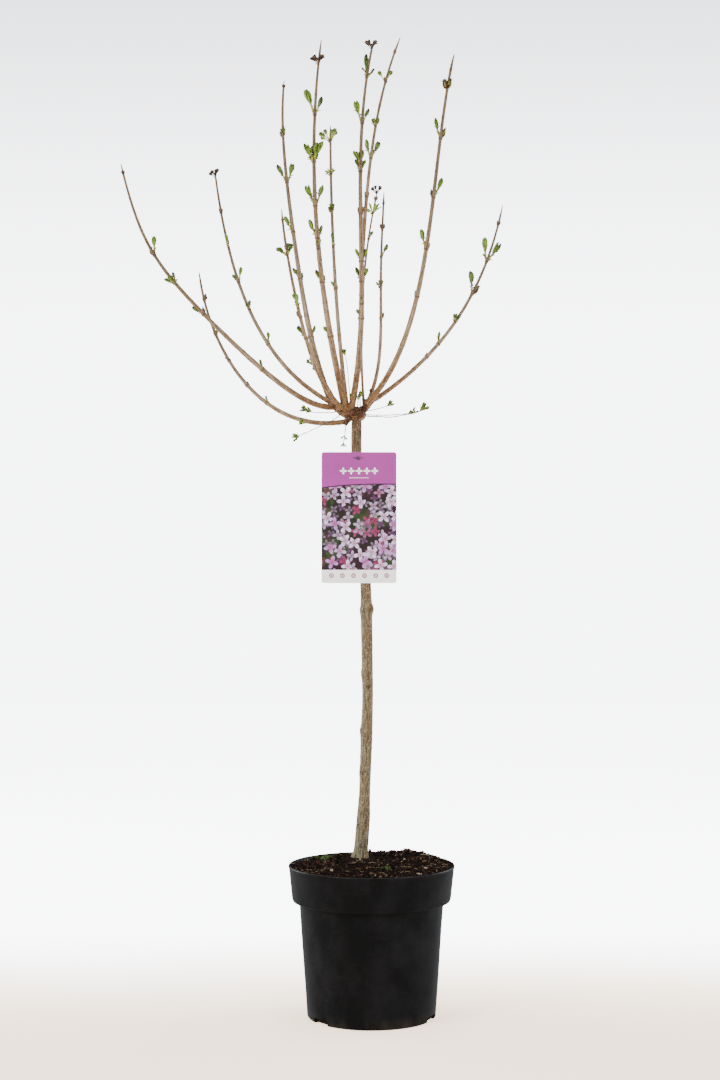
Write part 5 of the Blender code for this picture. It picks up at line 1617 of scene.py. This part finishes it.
def flowerPicture(tree, where, flat, clouds):
    # Dark leaves and a haze, with three layers of flowers that get bigger and brighter to the front.
    look = cardLook
    blotches = grain(tree, where, 55.0, 2.0, 0.5, 0.62)
    haze = grain(tree, where, 40.0, 2.0, 0.52, 0.7)
    picture = mixed(tree, clouds, look["leafDark"], look["shadow"])
    picture = mixed(tree, times(tree, blotches, 0.7), picture, look["leafLight"])
    picture = mixed(tree, times(tree, haze, 0.6), picture, scaled(look["petals"][2], 0.3))
    for number, (scale, size, shade) in enumerate(look["layers"]):
        shifted = vectorCalc(tree, "ADD", {0: flat, 1: (0.013 * number, 0.029 * number, 0.0)})
        blossoms = makeNode(tree, "Group", {"Vector": shifted, "Scale": scale, "Size": size},
                            node_tree=groups["blossoms"])
        mask, depth, chance, middle = blossoms.outputs
        pale, violet, other = (scaled(look["petals"][kind], shade) for kind in (0, 1, 1 + number % 2))
        tint = mixed(tree, ramp(tree, chance, 0.45, 0.65), pale, other)
        tint = mixed(tree, ramp(tree, depth, 0.75, 0.0), tint, scaled(look["bud"], shade))
        tint = mixed(tree, ramp(tree, depth, 0.85, 1.0, high=0.45), tint, scaled(violet, 0.5))
        # whole flowers stand in clusters
        thick = grain(tree, middle, 30.0 + 6.0 * number, 1.0, 0.46, 0.461)
        picture = mixed(tree, times(tree, mask, thick), picture, tint)
    return picture


def cardFinish():
    # The printed front: a plain header with a curved lower edge and a row of flowers, a picture of
    # flowers on dark leaves, and a white strip with a row of rings.
    plan, look = tagPlan, cardLook
    finish, tree, shader, where = newFinish("printedCard")
    place = makeNode(tree, "SeparateXYZ", {0: where}).outputs
    up = place["Z"]
    across = calc(tree, "ADD", place["X"], -plan["middle"][0])
    flat = makeNode(tree, "CombineXYZ", {0: place["X"], 1: up}).outputs[0]
    clouds = grain(tree, where, 26.0, 3.0, 0.42, 0.6)
    picture = flowerPicture(tree, where, flat, clouds)
    # the header's lower edge falls away to the left
    slope = calc(tree, "ADD", times(tree, across, 0.045), times(tree, times(tree, across, across), -0.85))
    border = calc(tree, "SUBTRACT", up, slope)
    edge = between(tree, border, look["borderHeight"] - look["borderEdge"], look["borderHeight"])
    header = calc(tree, "GREATER_THAN", border, look["borderHeight"])
    tone = mixed(tree, clouds, scaled(look["header"], 0.96), scaled(look["header"], 1.04))
    # painted shade: a dark lens round the band where it pulls a soft crease into the card
    halfWide, halfHigh = look["creaseShadeHalf"]
    wide = calc(tree, "DIVIDE", calc(tree, "ADD", across, plan["middle"][0] - plan["slit"][0]), halfWide)
    high = calc(tree, "DIVIDE", calc(tree, "SUBTRACT", up, plan["slit"][1] + 0.0009), halfHigh)
    tone = mixed(tree, ramp(tree, squares(tree, wide, high), 1.0, 0.0, high=0.8), tone, look["creaseShade"])
    tone = mixed(tree, flowerMask(tree, across, up), tone, plan["white"])
    picture = mixed(tree, edge, picture, look["headerEdge"])
    picture = mixed(tree, header, picture, tone)
    paper = mixed(tree, ringMask(tree, across, up), plan["white"], look["symbol"])
    picture = mixed(tree, calc(tree, "LESS_THAN", up, look["stripHeight"]), picture, paper)
    plug(tree, shader, {"Base Color": picture, "Roughness": 0.34, "Coat Weight": 0.2,
                        "Coat Roughness": 0.2})
    return finish


def backFinish():
    # Plain white card with faint clouds.
    finish, tree, shader, where = newFinish("cardBack")
    clouds = grain(tree, where, 90.0, 3.0, 0.3, 0.7)
    tone = mixed(tree, clouds, scaled(tagPlan["white"], 0.93), tagPlan["white"])
    plug(tree, shader, {"Base Color": tone, "Roughness": 0.45})
    return finish


def roundedPlate(half, corner, step):
    # A sheet of fine squares; those in its corners are pulled in to the round.
    columns, rows = (int(round(2.0 * side / step)) for side in half)
    sheet = np.meshgrid(np.linspace(-half[0], half[0], columns + 1), np.linspace(-half[1], half[1], rows + 1))
    flat = np.stack(sheet, axis=-1)
    core = half - corner
    over = np.maximum(np.abs(flat) - core, 0.0)
    longest = np.maximum(over.max(axis=-1), 1e-9)
    shrink = np.minimum(1.0, longest / np.maximum(np.linalg.norm(over, axis=-1), 1e-9))
    return np.sign(flat) * (np.minimum(np.abs(flat), core) + over * shrink[..., None])


def makeTag():
    # The front sheet, the back sheet and the edge between them, with two slits, and bowed as a whole by
    # bow (share^2 - 0.35), where share is the way from the middle to a side.
    plan = tagPlan
    half = np.array([plan["size"][0], plan["size"][2]]) / 2.0
    sheet = roundedPlate(half, plan["corner"], plan["step"])
    count = sheet[..., 0].size
    grid = np.arange(count).reshape(sheet.shape[:2])
    corners = np.stack([grid[:-1, :-1], grid[:-1, 1:], grid[1:, 1:], grid[1:, :-1]], axis=-1).reshape(-1, 4)
    edge = np.concatenate([grid[0, :-1], grid[:-1, -1], grid[-1, :0:-1], grid[:0:-1, 0]])
    after = np.roll(edge, -1)
    sides = np.stack([edge, edge + count, after + count, after], axis=-1)
    quads = np.concatenate([corners, corners[:, ::-1] + count, sides])
    finishOf = np.concatenate([np.zeros(len(corners)), np.ones(len(corners) + len(sides))])
    flat = np.column_stack([sheet[..., 0].ravel(), np.full(count, -plan["size"][1] / 2.0),
                            sheet[..., 1].ravel()])
    points = np.concatenate([flat, flat + np.array([0.0, plan["size"][1], 0.0])]) + np.array(plan["middle"])
    tag = putMesh("tag_plate", points, quads, np.empty((0, 3), int), [cardFinish(), backFinish()],
                  finishOf=finishOf)
    slits = []
    for side in (-1.0, 1.0):
        slit, fours, threes = roundedBox(plan["slitSize"], 0.0007)
        middle = (plan["slit"][0] + side * plan["slitSpread"], plan["middle"][1], plan["slit"][1])
        slits.append((slit + np.array(middle), fours, threes))
    shaped = cutOut(tag, slits)
    places = fetched(shaped.vertices, "co", 3)
    share = (places[:, 0] - plan["middle"][0]) / half[0]
    depth, reach = plan["dimple"]
    pull = bump(np.hypot((places[:, 0] - plan["slit"][0]) * 0.4, places[:, 2] - plan["slit"][1]), reach)
    places[:, 1] += plan["bow"] * (share**2 - 0.35) + depth * pull
    shaped.vertices.foreach_set("co", places.ravel())
    keep(placed("hanging_tag", shaped), "printed_card", "tag")


def bandFinish():
    # Dark cloth with a fine grain along it.
    finish, tree, shader, where = newFinish("darkBand")
    weave = grain(tree, where, 500.0, 3.0, 0.3, 0.7, 6.0)
    plug(tree, shader, {
        "Base Color": mixed(tree, weave, bandLook["base"], bandLook["worn"]), "Roughness": 0.5,
        "Normal": effect(tree, "relief", height=weave, strength=0.3, distance=0.0002)})
    return finish


def makeBand():
    # A soft strip with round edges: through both slits and round the back of the stem.
    look = bandLook
    places, radius = stemLine(np.array([tagPlan["slit"][1]]))
    middle, radius = places[0], radius[0] + look["stemGap"]
    left, right = (tagPlan["slit"][0] + side * tagPlan["slitSpread"] for side in (-1.0, 1.0))
    front, behind = (tagPlan["middle"][1] + side * look["tagGap"] for side in (-1.0, 1.0))
    line = [((left + right) / 2.0, front - 0.0002), (left + 0.0006, front), (left, front + 0.0006),
            (left, behind)]
    line += [(middle[0] + radius * math.cos(angle), middle[1] + radius * math.sin(angle))
             for angle in np.linspace(math.pi, 0.0, 25)]
    line += [(right, behind), (right, front + 0.0006), (right - 0.0006, front)]
    line = np.array(line)
    way = unit(np.roll(line, -1, axis=0) - np.roll(line, 1, axis=0))
    out = np.stack([way[:, 1], -way[:, 0]], axis=-1)
    out = np.where(((line - line.mean(axis=0)) * out).sum(axis=1, keepdims=True) < 0.0, -out, out)
    height = tagPlan["slit"][1] + look["lift"]
    edge = ((-1.0, 0.0), (-0.7, 0.94), (0.7, 0.94), (1.0, 0.0), (0.7, -0.94), (-0.7, -0.94))
    grid = np.stack([np.column_stack([line + out * look["thickHalf"] * side,
                                      np.full(len(line), height + look["highHalf"] * up)])
                     for side, up in edge], axis=1)
    index = np.arange(len(line) * len(edge)).reshape(len(line), len(edge))
    step, around = np.roll(index, -1, axis=0), np.roll(index, -1, axis=1)
    quads = np.stack([index, around, np.roll(step, -1, axis=1), step], axis=-1).reshape(-1, 4)
    keep(putMesh("dark_band", grid.reshape(-1, 3), quads, np.empty((0, 3), int), [bandFinish()]),
         "dark_band", "tag_band")


makeTag()
makeBand()
print("tag made")


# Floor, backdrop, light and camera

stagePlan = {
    "cream": (0.84, 0.68, 0.52),
    "white": (0.90, 0.92, 0.97),
    "creamGlow": 2.1,
    "whiteGlow": 7.4,
    "topGlow": 3.0,
    "turnsWhite": (0.05, 0.75),  # how far back the cream floor ends
    "dims": (-0.9, -0.4),  # how far forward it is lit up
    "backdropDims": (1.3, 2.9),  # the heights between which the backdrop dims: painted shade towards the top
    # place, height it looks at, watts, size and colour of each lamp
    "lamps": {"key": ((-2.4, -2.0, 2.2), 0.7, 165.0, 1.8, (1.0, 0.98, 0.95)),
              "fill": ((2.4, -1.8, 1.4), 0.6, 80.0, 1.6, (0.95, 0.97, 1.0)),
              "rimLeft": ((-2.0, 1.2, 0.8), 0.5, 60.0, 1.4, (1.0, 1.0, 1.0)),
              "rimRight": ((2.0, 1.2, 0.8), 0.5, 45.0, 1.4, (1.0, 1.0, 1.0)),
              "top": ((0.2, 0.3, 3.2), 0.6, 60.0, 1.8, (1.0, 1.0, 1.0))},
    "sky": ((0.92, 0.95, 1.0), 0.42),
    "camera": (-0.0152, -2.65, 0.63),
    "lens": (24.0, 44.44),  # millimetres: the height of the sensor, and the focal length
}


def floorFinish():
    # Cream near the pot, and lit up white further back, as a studio floor is.
    plan = stagePlan
    finish, tree, shader, where = newFinish("floorFinish")
    back = makeNode(tree, "SeparateXYZ", {0: where}).outputs["Y"]
    soft = grain(tree, where, 2.2, 3.0, 0.3, 0.7)
    # the colour's edge is soft and uneven, the glow's is even
    tinted, lit = (ramp(tree, calc(tree, "ADD", back, shift), *plan["turnsWhite"],
                        interpolation_type="SMOOTHSTEP") for shift in (times(tree, soft, 0.25), 0.125))
    near = times(tree, times(tree, soft, 0.12), calc(tree, "SUBTRACT", 1.0, tinted))
    colour = mixed(tree, near, mixed(tree, tinted, plan["cream"], plan["white"]), scaled(plan["cream"], 0.85))
    glow = times(tree, ramp(tree, lit, 0.0, 1.0, plan["creamGlow"], plan["whiteGlow"]),
                 ramp(tree, back, *plan["dims"]))
    plug(tree, shader, {"Base Color": colour, "Emission Color": colour, "Emission Strength": glow,
                        "Roughness": 0.9})
    return finish


def backdropFinish():
    # Glowing white behind the plant and dimmer towards the top: painted shade, where a real white backdrop
    # gets less light.
    plan = stagePlan
    finish, tree, shader, where = newFinish("backdropFinish")
    high = ramp(tree, makeNode(tree, "SeparateXYZ", {0: where}).outputs["Z"], *plan["backdropDims"],
                interpolation_type="SMOOTHSTEP")
    plug(tree, shader, {"Emission Strength": ramp(tree, high, 0.0, 1.0, plan["whiteGlow"], plan["topGlow"]),
                        "Emission Color": plan["white"], "Base Color": scaled(plan["white"], 0.02),
                        "Specular IOR Level": 0.0, "Roughness": 1.0})
    return finish


def makeSheet(name, corners, finish, lights=True):
    # The lit sheets stay out of the gloss on the pot, as they would beside real lamps.
    mesh = bpy.data.meshes.new(name)
    mesh.from_pydata(corners, [], [(0, 1, 2, 3)])
    mesh.materials.append(finish)
    sheet = placed(name, mesh)
    sheet.visible_glossy = False
    sheet.visible_diffuse = lights


makeSheet("floor", [(-6, -6, 0), (6, -6, 0), (6, 6, 0), (-6, 6, 0)], floorFinish())
makeSheet("backdrop", [(-3, 5, -0.1), (3, 5, -0.1), (3, 5, 4), (-3, 5, 4)], backdropFinish(),
          lights=False)

for name, (place, aim, power, size, colour) in stagePlan["lamps"].items():
    lamp = bpy.data.lights.new(name, "AREA")
    lamp.energy, lamp.size, lamp.color = power, size, colour
    light = placed(name, lamp)
    light.location = place
    light.rotation_euler = (Vector((0.0, 0.0, aim)) - Vector(place)).to_track_quat("-Z", "Y").to_euler()

world = bpy.data.worlds.new("studio")
world.use_nodes = True
skyColour, skyStrength = stagePlan["sky"]
plug(world.node_tree, world.node_tree.nodes["Background"], {"Color": skyColour, "Strength": skyStrength})
bpy.context.scene.world = world

lens = bpy.data.cameras.new("view")
lens.sensor_fit = "VERTICAL"
lens.sensor_height, lens.lens = stagePlan["lens"]
camera = placed("view", lens)
camera.location = stagePlan["camera"]
camera.rotation_euler = (math.radians(90.0), 0.0, 0.0)
bpy.context.scene.camera = camera
